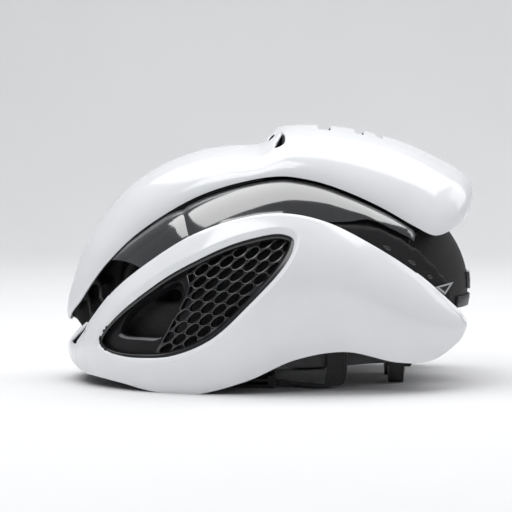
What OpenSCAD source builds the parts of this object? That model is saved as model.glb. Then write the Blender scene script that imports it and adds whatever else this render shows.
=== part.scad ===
// Aero road cycling helmet: white shells, black liner, honeycomb side vents and dial retention.
// X runs from the front (-X) to the rear (+X), the wearer's left side is -Y, Z is up.
// The origin is on the surface that the helmet stands on, below the middle of its box.

/* [Helmet] */
// Overall length from brow to spoiler
helmet_l = 290; // [280:1:310]
// Overall width across the side shells
helmet_w = 204; // [198:1:220]
// Overall height from the standing surface to the crest
helmet_h = 180; // [174:1:196]

/* [Shells] */
// Wall of the moulded shells
shell_t = 1.6; // [1.2:0.1:2.2]
// Gap between a shell and the foam behind it
bond_gap = 0.3; // [0.2:0.05:0.6]
// Width of the rolled lip along the top of a side shell
lip_w = 5; // [3:0.5:7]
// Wall of the gloss bands
band_wall = 1.2; // [0.8:0.1:1.8]
// Height of the slit vent in the brow
slit_h = 3.2; // [2:0.2:4]
// Height of the rim over the slit vent
rim_h = 2.4; // [1.6:0.2:4]

/* [Crown intake] */
// Width of the intake across the step of the crown
scoop_w = 70; // [44:1:74]
// Number of ribs across the intake
rib_count = 5; // [3:1:7]
// Thickness of one rib
rib_t = 2.6; // [1.6:0.1:3.4]
// Width of the first louver behind the intake
louver_w = 46; // [24:1:50]
// Length of the first louver slot
louver_l = 9.5; // [4:0.5:12]
// Distance from one louver to the next
louver_pitch = 20; // [16:0.5:22]

/* [Side vents] */
// Depth of the honeycomb below the side shell
grille_depth = 7; // [5:0.5:9]
// Thickness of the honeycomb
grille_t = 2; // [1.5:0.1:3]
// Wall of the black frame round a side vent
frame_t = 2; // [1.4:0.1:3]
// Distance between neighbouring honeycomb cells along a row
cell_pitch = 7.9; // [7:0.1:11]
// Wall between two honeycomb cells
cell_wall = 1.9; // [1.2:0.1:2.6]

/* [Liner] */
// Length of the head cavity
head_l = 200; // [192:1:204]
// Width of the head cavity
head_w = 154; // [148:1:158]
// Height of the cavity roof above its widest ring
head_h = 95; // [90:1:98]
// Height of the widest ring of the cavity
head_z = 42; // [38:1:46]
// Width of an air channel in the cavity roof
channel_w = 13; // [8:0.5:16]
// Depth of an air channel in the cavity roof
channel_depth = 7; // [4:0.5:9]
// Thickness of a pad
pad_t = 7; // [4:0.5:9]
// Gap between a pad and the foam
pad_gap = 0.6; // [0.5:0.05:0.9]

/* [Fit system] */
// Height of the band that goes round the head
band_h = 12; // [9:0.5:14]
// Thickness of the head band
band_t = 1.4; // [1:0.1:2]
// Diameter of the temple pins
pin_d = 3; // [2.4:0.1:4]
// Running gap all round a pin
pin_gap = 0.1; // [0.05:0.01:0.1]
// Travel of each band as the dial tightens it
band_travel = 8; // [5:0.5:9]
// Diameter of the dial
dial_d = 28; // [24:1:31]
// Thickness of the dial
dial_t = 7; // [5:0.5:9]
// Pitch radius of the pinion that drives the racks
pinion_r = 3.5; // [3:0.1:3.8]
// Number of teeth on the pinion
pinion_teeth = 8; // [7:1:9]
// Width of the cradle at the nape
cradle_w = 62; // [56:1:70]
// Rise of the cradle as its height is set
cradle_rise_deg = 4; // [2:0.5:4]

/* [Straps] */
// Width of the webbing
strap_w = 15; // [12:0.5:16]
// Thickness of the webbing
strap_t = 1.2; // [0.8:0.1:1.6]
// Length of the buckle across the straps
buckle_w = 22; // [20:0.5:26]
// Slide of the buckle tongue to release it
buckle_travel = 12; // [8:0.5:14]
// Thickness of the divider plates
divider_t = 2; // [1.6:0.1:3]

/* [Hidden] */

// The form is drawn at 290 x 204 x 180 mm and follows the driving sizes.
form_size = [290, 204, 180];
form_k = [helmet_l / form_size.x, helmet_w / form_size.y, helmet_h / form_size.z];
function fit(p) = [p.x * form_k.x, p.y * form_k.y, p.z * form_k.z];

// Crest of the crown on the midplane, front to rear
crest_pts = [[-143, 0, 43], [-145, 0, 52], [-141, 0, 66], [-134, 0, 88], [-122, 0, 110], [-102, 0, 134],
    [-80, 0, 150], [-54, 0, 161], [-30, 0, 165.5], [-8, 0, 167], [3, 0, 174.8], [11, 0, 179.1], [32, 0, 180],
    [54, 0, 178], [78, 0, 173], [100, 0, 165.5], [121, 0, 155.5], [136, 0, 146.5], [143, 0, 138.5],
    [144.5, 0, 131]];
// Lower edge of the crown, one point for each crest point, written for the right side
edge_pts = [[-142, 4, 43], [-140, 8, 48], [-134, 14, 56], [-127, 20, 67], [-116, 27, 82], [-98, 34, 100.5],
    [-78, 39, 115.5], [-54, 44.5, 129.5], [-32, 49, 138], [-11, 52.5, 143.2], [4, 55, 145.2],
    [16, 57, 144.7], [34, 59, 141], [54, 60.5, 134], [76, 61, 123.8], [98, 60, 111.3], [113, 58.5, 105],
    [128, 47.5, 111], [137, 32, 118.5], [142.5, 12, 127]];
// Top and bottom edges of a side shell with the swell between them, written for the right side
wing_top = [[-134.5, 30, 37.5], [-130, 35.5, 41.3], [-124.5, 41, 46.5], [-108, 53.5, 67], [-84, 65.8, 87],
    [-54, 76.8, 106.2], [-22, 82.8, 117.7], [8, 85, 121.5], [38, 84.4, 115.3], [70, 80.7, 99],
    [100, 74.5, 79.3], [124, 66.3, 57.8], [131, 63, 50.3], [133.2, 62, 48]];
wing_low = [[-133, 31, 9.5], [-128, 40, 8], [-121, 49, 7.3], [-101.7, 66.5, 4.7], [-78, 79.5, 0.3],
    [-50, 89, 0], [-16, 93, 9.5], [16, 92.8, 23.6], [50, 91, 28.8], [84, 86.8, 21.3], [108, 80.5, 21.6],
    [126, 69.5, 34], [131.5, 63.7, 42], [133.5, 62, 46.5]];
wing_swell = [5, 6, 8, 15, 23, 27, 28, 27, 25, 20, 13, 5, 2, 0.5];
// Upper and lower edge of the brow from the midplane to the side shell
brow_top = [[-143.5, 0, 27.5], [-142.5, 11, 28.5], [-139.8, 21, 32], [-135, 29.6, 37]];
brow_low = [[-142.5, 0, 16.5], [-141.5, 11, 15.5], [-138.5, 21, 12.8], [-133.5, 30.6, 9.7]];
brow_swell = 1.5;
// Outline of a side vent in side view, front at -X
vent_pts = [[14.4, 101.5], [5.7, 84.7], [-15.6, 61.3], [-40, 38.3], [-66.8, 26.7], [-97.3, 23.7],
    [-113, 29], [-115.5, 35.5], [-99.4, 55.4], [-73, 75.8], [-50, 89], [-26.3, 99.7], [-3, 106],
    [9, 106.3]];
// Outline of the open intake in the honeycomb panel
intake_pts = [[-60, 73], [-59, 66], [-62.4, 55.7], [-66.7, 47], [-74, 37.7], [-88, 36.6], [-101, 37],
    [-103, 42.3], [-96, 54], [-87, 61], [-72, 71], [-64, 75]];
// Upper edge of a gloss band below the crown and lower edge behind the lip, for the right side
band_top = [[-111.5, 28, 86], [-98, 32.5, 98.5], [-78, 37.5, 113.5], [-54, 43, 127.5], [-32, 47.5, 136],
    [-11, 51, 141.3], [4, 53.5, 143.4], [16, 55.5, 143], [34, 57.5, 139.3], [52, 59, 133], [66, 59.2, 127],
    [82, 58.8, 119], [100, 57.3, 107.8]];
band_low = [[-89, 59, 82.8], [-83, 60.3, 86], [-68, 66, 96.5], [-50, 71.5, 105.5], [-30, 75.5, 113],
    [-10, 77.5, 118], [6, 78.3, 119.5], [18, 78.3, 118.5], [34, 77.8, 115.5], [52, 75.5, 115],
    [66, 72, 115.6], [82, 68.8, 108.7], [97, 65, 101.2]];
band_swell = [7, 5, 4, 4, 4, 4, 4, 4, 4, 4, 4, 4, 4];

// Egg that the foam is shaved from: front, rear, side and top radius about its centre
egg_c = fit([10, 0, 66]);
egg_front = 116 * form_k.x;
egg_rear = 130 * form_k.x;
egg_side = 84 * form_k.y;
egg_top = 88 * form_k.z;
head_c = [-3, 0, head_z];
head_r = [head_l / 2, head_w / 2, head_h];

function lerp(a, b, t) = a + (b - a) * t;
function unit(v) = v / max(norm(v), 1e-9);
function flip_y(p) = [p.x, -p.y, p.z];

// Point on a smooth curve through the points p, t from 0 to 1
function spline(p, t) =
    let(n = len(p) - 1, f = min(max(t, 0), 0.999999) * n, i = floor(f), u = f - i,
        a = p[max(i - 1, 0)], b = p[i], c = p[i + 1], d = p[min(i + 2, n)])
    0.5 * (2 * b + (c - a) * u + (2 * a - 5 * b + 4 * c - d) * u * u + (3 * b - a - 3 * c + d) * u * u * u);
// The same on a closed curve
function loop_spline(p, t) =
    let(n = len(p), f = t * n, i = floor(f), u = f - i,
        a = p[(i + n - 1) % n], b = p[i % n], c = p[(i + 1) % n], d = p[(i + 2) % n])
    0.5 * (2 * b + (c - a) * u + (2 * a - 5 * b + 4 * c - d) * u * u + (3 * b - a - 3 * c + d) * u * u * u);
function outline(p, n) = [for (i = [0:n - 1]) let(q = loop_spline(p, i / n)) [q.x * form_k.x, q.y * form_k.z]];

// A grid is a list of columns, each a list of points. Its outward side is that of the
// cross product of the direction along the columns' order and the direction within a column.
function grid_normal(g, i, j) =
    let(m = len(g) - 1, n = len(g[0]) - 1,
        du = g[min(i + 1, m)][j] - g[max(i - 1, 0)][j],
        dv = g[i][min(j + 1, n)] - g[i][max(j - 1, 0)])
    unit(cross(du, dv));
function inset(g, d) = [for (i = [0:len(g) - 1]) [for (j = [0:len(g[0]) - 1]) g[i][j] - d * grid_normal(g, i, j)]];
function flatten(g) = [for (c = g) for (p = c) p];
function mirror_grid(g) = [for (i = [len(g) - 1:-1:0]) [for (p = g[i]) flip_y(p)]];

// Closed solid between an outer grid and an inner grid of the same size
module shell_solid(outer, inner) {
    m = len(outer) - 1;
    n = len(outer[0]) - 1;
    k = n + 1;
    s = (m + 1) * k;
    cells = [for (i = [0:m - 1]) for (j = [0:n - 1]) let(a = i * k + j, b = a + k, c = b + 1, d = a + 1)
        each [[a, d, c], [a, c, b], [s + a, s + c, s + d], [s + a, s + b, s + c]]];
    front = [for (j = [0:n - 1]) let(a = j, d = j + 1) each [[d, a, s + a], [d, s + a, s + d]]];
    rear = [for (j = [0:n - 1]) let(b = m * k + j, c = b + 1) each [[b, c, s + c], [b, s + c, s + b]]];
    low = [for (i = [0:m - 1]) let(a = i * k, b = a + k) each [[a, b, s + b], [a, s + b, s + a]]];
    high = [for (i = [0:m - 1]) let(d = i * k + n, c = d + k) each [[c, d, s + d], [c, s + d, s + c]]];
    polyhedron(concat(flatten(outer), flatten(inner)), concat(cells, front, rear, low, high));
}

// Closed solid through a stack of rings, each ring counter-clockwise seen from the last ring
module ring_solid(rings) {
    n = len(rings[0]);
    m = len(rings) - 1;
    sides = [for (k = [0:m - 1]) for (j = [0:n - 1])
        let(a = k * n + j, b = k * n + (j + 1) % n, c = b + n, d = a + n) each [[a, d, c], [a, c, b]]];
    polyhedron(flatten(rings), concat(sides, [[for (j = [0:n - 1]) j]], [[for (j = [n - 1:-1:0]) m * n + j]]));
}

// Crown surface: u runs front to rear, v runs from the left edge over the crest to the right edge
crown_arch = 0.52;
function crown_point(u, v) =
    let(c = fit(spline(crest_pts, u)), r = fit(spline(edge_pts, u)), e = v < 0.5 ? flip_y(r) : r,
        t = 1 - abs(2 * v - 1), k = [lerp(e.x, c.x, 0.5), e.y, c.z],
        p = lerp(e, k, crown_arch), q = lerp(c, k, crown_arch), w = 1 - t)
    w * w * w * e + 3 * w * w * t * p + 3 * w * t * t * q + t * t * t * c;
function crown_grid(m, n) = [for (i = [0:m]) [for (j = [0:n]) crown_point(i / m, j / n)]];

// Left side shell surface: u runs front to rear, v from the bottom edge to the top edge
function wing_point(u, v) =
    let(a = flip_y(fit(spline(wing_low, u))), b = flip_y(fit(spline(wing_top, u))),
        a2 = flip_y(fit(spline(wing_low, u + 0.01))), b2 = flip_y(fit(spline(wing_top, u + 0.01))),
        a1 = flip_y(fit(spline(wing_low, u - 0.01))), b1 = flip_y(fit(spline(wing_top, u - 0.01))),
        out = unit(cross(a2 + b2 - a1 - b1, b - a)),
        k = lerp(a, b, 0.55) + spline(wing_swell, u) * out)
    (1 - v) * (1 - v) * a + 2 * v * (1 - v) * k + v * v * b;
function above_ground(p) = [p.x, p.y, max(p.z, 0)];
function wing_grid(m, n) = [for (i = [0:m]) [for (j = [0:n]) above_ground(wing_point(i / m, j / n))]];

// Left gloss band surface: u runs front to rear, v from its lower edge to its upper edge
function band_point(u, v) =
    let(a = flip_y(fit(spline(band_low, u))), b = flip_y(fit(spline(band_top, u))),
        out = unit(cross([1, 0, 0], b - a)))
    lerp(a, b, v) + v * (1 - v) * spline(band_swell, u) * out;
function band_grid(m, n) = [for (i = [0:m]) [for (j = [0:n]) band_point(i / m, j / n)]];

// Steps of the surfaces: fine for the shells, coarse for what lies behind them
crown_m = 36;
crown_n = 16;
wing_m = 30;
wing_n = 8;
back_m = 18;
back_n = 5;

function egg_ring(a, n) = [for (i = [0:n - 1]) let(t = 360 * i / n)
    [egg_c.x + (cos(t) > 0 ? egg_rear : egg_front) * cos(t) * cos(a), egg_side * sin(t) * cos(a),
        egg_c.z + egg_top * sin(a)]];
// Egg surface at the rear at (y, z), grown by off
function egg_rear_point(y, z, off) =
    let(ey = y / (egg_side + off), ez = (z - egg_c.z) / (egg_top + off))
    [egg_c.x + (egg_rear + off) * sqrt(1 - ey * ey - ez * ez), y, z];

// Head cavity: a straight wall up to its widest ring and a dome above it. The place t is
// the angle round it and h is a height below the ring (negative, mm) or an angle above it.
function head_point(t, h, grow) = let(a = max(h, 0), z = min(h, 0))
    [head_c.x + (head_r.x + grow) * cos(t) * cos(a), (head_r.y + grow) * sin(t) * cos(a),
        head_c.z + z + (head_r.z + grow) * sin(a)];
function head_ring(h, grow, n) = [for (i = [0:n - 1]) head_point(360 * i / n, h, grow)];
function wall_y(x, grow) = (head_r.y + grow) * sqrt(1 - pow((x - head_c.x) / (head_r.x + grow), 2));
// Slope of the left wall at x, as the y that goes with a step of 1 along x
function wall_slope(x) = let(q = (x - head_c.x) / head_r.x) head_r.y * q / (head_r.x * sqrt(1 - q * q));
module at_wall(a) {
    translate([a.x, -wall_y(a.x, 0), a.y]) rotate([0, 0, atan(wall_slope(a.x))]) children();
}
module head_solid(grow, n) {
    ring_solid([for (h = concat([-60], [for (k = [0:8]) 10 * k], [86])) head_ring(h, grow, n)]);
}

// Freeform solids are meshes, so what is cut from them or joined to them becomes one mesh too
module as_mesh() {
    resize([0, 0, 0]) children();
}
module both_sides() {
    children();
    mirror([0, 1, 0]) children();
}
// Grid moved towards the upright axis of the helmet by a depth for each column
function moved_in(g, depth) = [for (i = [0:len(g) - 1]) [for (p = g[i])
    let(k = 1 - (is_list(depth) ? depth[i] : depth) / norm([p.x, p.y])) [p.x * k, p.y * k, p.z]]];

// Foam behind the left side shell
core_deep = 30;
core_thin = 13;
module side_core() {
    g = inset(wing_grid(wing_m, back_n), shell_t + bond_gap);
    c = [for (col = g) [for (j = [0:back_n - 1]) [col[j].x, col[j].y, max(col[j].z, 0) + (j == 0 ? 1.2 : 0)]]];
    shell_solid(c, moved_in(c, [for (i = [0:wing_m]) min(core_deep, core_thin + 80 * max(i / wing_m - 0.1, 0))]));
}

// Foam that rises behind the rear of the left side shell
shoulder_top = [[40, 79, 113], [56, 77.3, 113.2], [68, 75, 112.5], [82, 72.5, 107.5], [100, 69.5, 96.8],
    [115, 66, 82.5], [121.5, 64.5, 74], [126, 63, 62]];
shoulder_low = [[40, 80, 108], [56, 79.6, 100], [72, 77, 92], [88, 74, 82], [102, 70.8, 73], [113, 68, 63],
    [121, 65, 56], [126, 61.5, 50]];
shoulder_swell = 2.5;
module shoulder_core() {
    g = [for (i = [0:10]) [for (t = [0, 0.5, 1])
        let(a = flip_y(fit(spline(shoulder_low, i / 10))), b = flip_y(fit(spline(shoulder_top, i / 10))))
        lerp(a, b, t) - [0, shoulder_swell * t * (1 - t), 0]]];
    shell_solid(g, moved_in(g, core_deep - 4));
}
module band_core() {
    g = inset(band_grid(12, 3), band_wall + bond_gap + 0.2);
    shell_solid(g, moved_in(g, [for (i = [0:12]) min(24, 10 + 4 * i)]));
}

// Foam behind the brow: a thin front and a wall round the forehead
forehead_grow = 24;
forehead_z = [17, 44];
module brow_core() {
    g = [for (i = [6:-1:-6]) let(t = abs(i) / 6, s = i < 0 ? -1 : 1,
            a = fit(spline(brow_low, t)), b = fit(spline(brow_top, t)))
        [for (v = [0, 0.5, 1]) [lerp(a.x, b.x, v) + shell_t + bond_gap + 0.4, s * lerp(a.y, b.y, v),
            lerp(a.z + 1, b.z - rim_h - slit_h - 0.6, v)]]];
    shell_solid(g, moved_in(g, 38));
    intersection() {
        ring_solid([for (z = forehead_z) [for (p = head_ring(0, forehead_grow, 40)) [p.x, p.y, z * form_k.z]]]);
        scale(form_k) translate([-140, -56, 0]) cube([80, 112, 60]);
    }
}
module crown_core() {
    n = 8;
    g = inset(crown_grid(crown_m, n), shell_t + bond_gap);
    flat = [for (c = g) [for (j = [0:n]) lerp(c[0], c[n], j / n) - [0, 0, 0.5]]];
    shell_solid(g, flat);
}
// Web below the nose of the crown, between the two front vents
keel_w = 11;
module keel() {
    intersection() {
        translate([-140, -keel_w / 2, 24]) cube([57, keel_w, 90]);
        rotate([90, 0, 0]) linear_extrude(keel_w + 2, center = true)
            polygon([[-124, 24], [-136, 40], [-138.5, 48], [-138, 58], [-134.5, 68], [-122, 90], [-100, 115],
                [-84, 110], [-84, 24]]);
    }
}

module front_vents() {
    both_sides() translate([-160, 0, 0]) rotate([90, 0, 90])
        linear_extrude(100) polygon([[13, 50], [44, 36], [58, 52], [58, 80], [44, 90], [22, 78]]);
}
// Curved bars that cross a front vent
module vent_bars() {
    for (b = [[[-112, 2, 72], [-121, 25, 65], [-110, 46.5, 51]], [[-126, 2, 60], [-128.5, 16, 56], [-121, 36, 38]]])
        for (i = [0:2]) hull() for (k = [i, i + 1]) translate(flip_y(fit(spline(b, k / 3)))) sphere(2.2, $fn = 8);
}

// Room round the lip of the left side shell
module lip_room() {
    g = wing_grid(wing_m, wing_n);
    ring_solid([for (i = [0:wing_m]) let(t = g[i][wing_n])
        [t + [0, -4, 1.3], t + [0, -4, -shell_t - 1.3], t + [0, lip(i) + 0.7, -shell_t - 1.3],
            t + [0, lip(i) + 0.7, 1.3]]]);
}

// Channels and slots for the air above the head
slot_y = [-24, 0, 24];
slot_x = [20, 78];
module roof_slots() {
    for (y = slot_y) translate([slot_x[0], y - channel_w / 2, head_z])
        cube([slot_x[1] - slot_x[0], channel_w, 130]);
}
module channels() {
    for (y = slot_y) intersection() {
        head_solid(channel_depth, 40);
        translate([-70, y - channel_w / 2, 70]) cube([140, channel_w, 90]);
    }
}

module vent_prism(grow, y0, y1) {
    translate([0, y1, 0]) rotate([90, 0, 0]) linear_extrude(y1 - y0) offset(delta = grow)
        polygon(outline(vent_pts, 42));
}
// Pocket behind a side vent, with a port into the cavity
pocket_depth = 18;
port = [[-84, 60.5], [-60, 68.5]];
module side_pocket() {
    intersection() {
        vent_prism(frame_t / 4, -110, -40);
        union() {
            g = wing_grid(10, 3);
            shell_solid(inset(g, -5), inset(g, pocket_depth));
        }
    }
    translate([port[0].x, -100, port[0].y]) cube([port[1].x - port[0].x, 60, port[1].y - port[0].y]);
}

// Opening of the nape that leaves room for the cradle
nape_w = 100;
nape_z = 52;
module nape_cut() {
    translate([60, 0, 0]) rotate([90, 0, 90]) linear_extrude(100) hull() {
        translate([-nape_w / 2, -20]) square([nape_w, 50]);
        for (s = [-1, 1]) translate([s * (nape_w / 2 - 16), nape_z - 16]) circle(16);
    }
}

duct_y = 37;
module eps_liner() {
    color([0.09, 0.09, 0.1]) as_mesh() difference() {
        union() {
            difference() {
                ring_solid([for (a = [-50:10:70]) egg_ring(a, 46)]);
                scale(form_k) front_vents();
                translate([-200, -200, -100]) cube([400, 400, 100 + 30 * form_k.z]);
            }
            intersection() {
                crown_core();
                translate([-160, -80, 0]) cube([156 * form_k.x, 160, 200]);
            }
            intersection() {
                crown_core();
                scale(form_k) both_sides() translate([-10, duct_y, 60]) cube([138, 3, 130]);
            }
            brow_core();
            scale(form_k) keel();
            both_sides() {
                side_core();
                shoulder_core();
                band_core();
                vent_bars();
            }
        }
        head_solid(0, 36);
        channels();
        roof_slots();
        both_sides() {
            side_pocket();
            lip_room();
            translate([temple.x, 0, temple.z]) rotate([90, 0, 0]) cylinder(h = 100, r = anchor_d / 2 + 0.25, $fn = 24);
            for (a = strap_anchor_places) at_wall(a)
                translate([-strap_w / 2 - 2.3, -7.3, -3.3]) cube([strap_w + 4.6, 12, 6.6]);
        }
        nape_cut();
        translate([guide_x, -guide_w / 2 - 0.3, guide_z - 0.3]) cube([7.7, guide_w + 0.6, guide_h + 0.6]);
    }
}

// Prism across the crown where its intake opens
module scoop_prism(grow) {
    rotate([90, 0, 0]) linear_extrude(scoop_w + 2 * grow, center = true) offset(delta = grow)
        polygon([for (p = [[-3, 167], [1.5, 162.5], [8.5, 164.5], [11, 171], [11, 190], [-3, 190]])
            [p.x * form_k.x, p.y * form_k.z]]);
}
louver_x = 34;
module crown_shell() {
    color("white") as_mesh() difference() {
        g = crown_grid(crown_m, crown_n);
        shell_solid(g, inset(g, shell_t));
        scoop_prism(0);
        for (i = [0:2]) translate([louver_x * form_k.x + i * louver_pitch, -louver_w / 2 + i * 3, 150 * form_k.z])
            cube([louver_l - i, louver_w - 6 * i, 60]);
    }
}
// Ribs across the crown intake, joined by a bar under its rear edge
module scoop_ribs() {
    color("white") as_mesh() {
        g = crown_grid(crown_m, crown_n);
        intersection() {
            shell_solid(inset(g, 0.2), inset(g, 7));
            scoop_prism(-0.3);
            for (i = [1:rib_count]) translate([-20, scoop_w * (i / (rib_count + 1) - 0.5) - rib_t / 2, 140 * form_k.z])
                cube([50, rib_t, 60]);
        }
        intersection() {
            shell_solid(inset(g, 4.4), inset(g, 7));
            translate([7 * form_k.x, -scoop_w / 2 + 2, 140 * form_k.z]) cube([7, scoop_w - 4, 60]);
        }
    }
}

function lip(i) = min(lip_w, 40 * (1 - i / wing_m) + 1);
module left_side_shell() {
    color("white") as_mesh() difference() {
        g = wing_grid(wing_m, wing_n);
        d = inset(g, shell_t);
        outer = [for (i = [0:wing_m]) concat(g[i], [g[i][wing_n] + [0, lip(i), -0.2]])];
        inner = [for (i = [0:wing_m]) let(t = g[i][wing_n])
            concat([for (j = [0:wing_n - 1]) d[i][j]],
                [t + [0, 1.5 + lip(i) / 3, -shell_t - 0.4], t + [0, lip(i), -shell_t]])];
        shell_solid(outer, inner);
        vent_prism(0, -140, -30);
    }
}
module right_side_shell() {
    mirror([0, 1, 0]) left_side_shell();
}

// Strip of the brow between a raised bottom edge and a lowered top edge
module brow_strip(raise, drop, swell, t0, reach) {
    rows = [for (i = [8:-1:-8]) let(t = reach * abs(i) / 8, s = i < 0 ? -1 : 1,
            a = fit(spline(brow_low, t)), b = fit(spline(brow_top, t)), w = max(b.z - a.z, 1))
        [for (v = [raise < 0 ? 1 + raise / w : 0, 1 - drop / w]) [s, a, b, v]]];
    g = [for (r = rows) [for (k = [0:0.25:1]) let(s = r[0][0], a = r[0][1], b = r[0][2],
            v = lerp(r[0][3], r[1][3], k), p = lerp(a, b, v))
        [p.x - 4 * v * (1 - v) * swell, s * p.y, p.z]]];
    shell_solid(g, [for (c = g) [for (p = c) p + [t0, 0, 0]]]);
}
module brow_shell() {
    color("white") brow_strip(0, rim_h + slit_h, brow_swell, shell_t, 1);
}
module brow_rim() {
    color("white") brow_strip(-rim_h, 0, brow_swell, shell_t + 1, 0.9);
}

module left_gloss_band() {
    color([0.02, 0.02, 0.02]) {
        g = band_grid(26, 5);
        shell_solid(g, inset(g, band_wall));
    }
}
module right_gloss_band() {
    mirror([0, 1, 0]) left_gloss_band();
}

module left_vent_frame() {
    color([0.04, 0.04, 0.04]) as_mesh() intersection() {
        g = wing_grid(back_m, back_n);
        shell_solid(inset(g, 0.4), inset(g, grille_depth + grille_t + 0.6));
        translate([0, -30, 0]) rotate([90, 0, 0]) linear_extrude(110) difference() {
            offset(delta = -0.2) polygon(outline(vent_pts, 42));
            offset(delta = -0.2 - frame_t) polygon(outline(vent_pts, 42));
        }
    }
}
module right_vent_frame() {
    mirror([0, 1, 0]) left_vent_frame();
}

// Honeycomb with a rim along the frame and round the open intake
row_step = [1.2, 8];
row_fall = -1.1;
rim_w = 1.4;
module vent_area(grow) {
    offset(delta = grow - 0.4 - frame_t) polygon(outline(vent_pts, 42));
}
module intake_area(grow) {
    offset(delta = grow) polygon(outline(intake_pts, 20));
}
module honeycomb() {
    a = [cell_pitch, row_fall];
    b = row_step;
    difference() {
        union() {
            difference() {
                vent_area(0);
                for (i = [-7:5]) for (j = [0:12]) {
                    p = [i * cell_pitch + j * row_step.x, 20 + j * row_step.y + i * row_fall];
                    if (p.x > -64 && p.x < 12) translate(p) offset(delta = -cell_wall / 2)
                        polygon([2 * a + b, a + 2 * b, b - a, -2 * a - b, -a - 2 * b, a - b] / 3);
                }
            }
            difference() {
                vent_area(0);
                vent_area(-rim_w);
            }
            intersection() {
                vent_area(0);
                intake_area(rim_w);
            }
        }
        intake_area(0);
    }
}
module left_side_grille() {
    color([0.03, 0.03, 0.03]) as_mesh() intersection() {
        g = wing_grid(10, 4);
        shell_solid(inset(g, grille_depth), inset(g, grille_depth + grille_t));
        translate([0, -30, 0]) rotate([90, 0, 0]) linear_extrude(110) honeycomb();
    }
}
module right_side_grille() {
    mirror([0, 1, 0]) left_side_grille();
}

// Patch on the rear of the foam dome between two heights
module dome_patch(y, z0, z1, t) {
    g = [for (i = [0:12]) [for (k = [0, 0.5, 1]) egg_rear_point(lerp(-y, y, i / 12), lerp(z0, z1, k), bond_gap + t)]];
    d = [for (c = g) [for (p = c) egg_rear_point(p.y, p.z, bond_gap)]];
    shell_solid(g, d);
}
module rear_reflector() {
    color([0.45, 0.46, 0.48]) dome_patch(14, (nape_z + 13) * form_k.z, (nape_z + 25) * form_k.z, 2);
}
module nape_trim() {
    color([0.03, 0.03, 0.03]) dome_patch(34, nape_z + 1, (nape_z + 9) * form_k.z, 1.6);
}
// Small fin on the foam shoulder behind the left side shell
fin_t = 1.4;
module left_rear_fin() {
    color([0.6, 0.6, 0.61]) translate(fit([111.6, -69.1, 0])) rotate([0, 0, 24]) rotate([90, 0, 0])
        linear_extrude(fin_t) polygon([[0, 71 * form_k.z], [13, 73.5 * form_k.z], [7, 67.5 * form_k.z]]);
}
module right_rear_fin() {
    mirror([0, 1, 0]) left_rear_fin();
}

// Pad on the cavity wall between two angles and two heights, thinner along its edges
pad_edge = 2;
module wall_pad(t0, t1, h0, h1, nt, nh) {
    outer = [for (i = [0:nt]) [for (j = [0:nh]) head_point(lerp(t0, t1, i / nt), lerp(h0, h1, j / nh), -pad_gap)]];
    inner = [for (i = [0:nt]) [for (j = [0:nh])
        let(u = 2 * i / nt - 1, v = 2 * j / nh - 1,
            t = pad_edge + (pad_t - pad_edge) * (1 - pow(u, 6)) * (1 - pow(v, 4)))
        head_point(lerp(t0, t1, i / nt), lerp(h0, h1, j / nh), -pad_gap - t)]];
    shell_solid(outer, inner);
}
module brow_pad() {
    color([0.12, 0.12, 0.13]) wall_pad(136, 224, forehead_z[0] - head_z + 3, forehead_z[1] - head_z - 4, 14, 5);
}
module left_side_pad() {
    color([0.12, 0.12, 0.13]) wall_pad(-122, -62, 6, 24, 10, 5);
}
module right_side_pad() {
    mirror([0, 1, 0]) left_side_pad();
}
// Strip along the cavity roof beside the middle channel
module crown_pad_strip(y, w) {
    function roof(x, y, grow) = [x, y, head_c.z + (head_r.z + grow) * sqrt(1
        - pow((x - head_c.x) / (head_r.x + grow), 2) - pow(y / (head_r.y + grow), 2))];
    g = [for (i = [0:12]) [for (j = [0:4]) [lerp(-52, 14, i / 12), y + w * (j / 4 - 0.5)]]];
    shell_solid([for (c = g) [for (p = c) roof(p.x, p.y, -pad_gap)]],
        [for (i = [0:12]) [for (j = [0:4]) let(p = g[i][j], u = i / 6 - 1, v = j / 2 - 1)
            roof(p.x, p.y, -pad_gap - pad_edge - (pad_t - pad_edge) * (1 - pow(u, 6)) * (1 - pow(v, 4)))]]);
}
module left_crown_pad() {
    color([0.12, 0.12, 0.13]) crown_pad_strip(-20, 24);
}
module right_crown_pad() {
    mirror([0, 1, 0]) left_crown_pad();
}

// Fit system. The temple pins lie on one axis along Y, on which the cradle swings.
band_in = 4.5;
temple = [-62, 0, 22];
anchor_d = 9;
eye_d = 12;
eye_t = 2.4;
boss_h = 3.2;
temple_y = wall_y(temple.x, -band_in);
pin_len = 17;
rack_x = 87.2;
rack_w = 3;
tooth_h = 0.8;
pitch = 2 * PI * pinion_r / pinion_teeth;
tooth_w = 0.95;
strip_gap = 0.6;
cradle_front = rack_x - 4.6;
cradle_back = rack_x + 4;
cradle_h = 36;
wall = 1.6;
slot_gap = 0.35;
cover_t = 1.8;
dial_gap = 0.3;
shaft_d = 5;
guide_x = rack_x + 1.4;
guide_w = 22;
guide_z = 60;
guide_h = 9;

function band_route() = concat(
    [for (t = [128:-6:44]) [head_c.x + (head_r.x - band_in) * cos(t), -(head_r.y - band_in) * sin(t)]],
    [[75.5, -46.8], [82.6, -43.4], [86.7, -39.5], [rack_x, -36]]);
// Upright strip through plan points, from z0 to z1
module strip(route, t, z0, z1) {
    n = len(route) - 1;
    side = [for (i = [0:n]) let(d = unit(route[min(i + 1, n)] - route[max(i - 1, 0)])) [-d.y, d.x] * t / 2];
    linear_extrude(z1 - z0) polygon(concat([for (i = [0:n]) route[i] + side[i]],
        [for (i = [n:-1:0]) route[i] - side[i]]));
}
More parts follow.
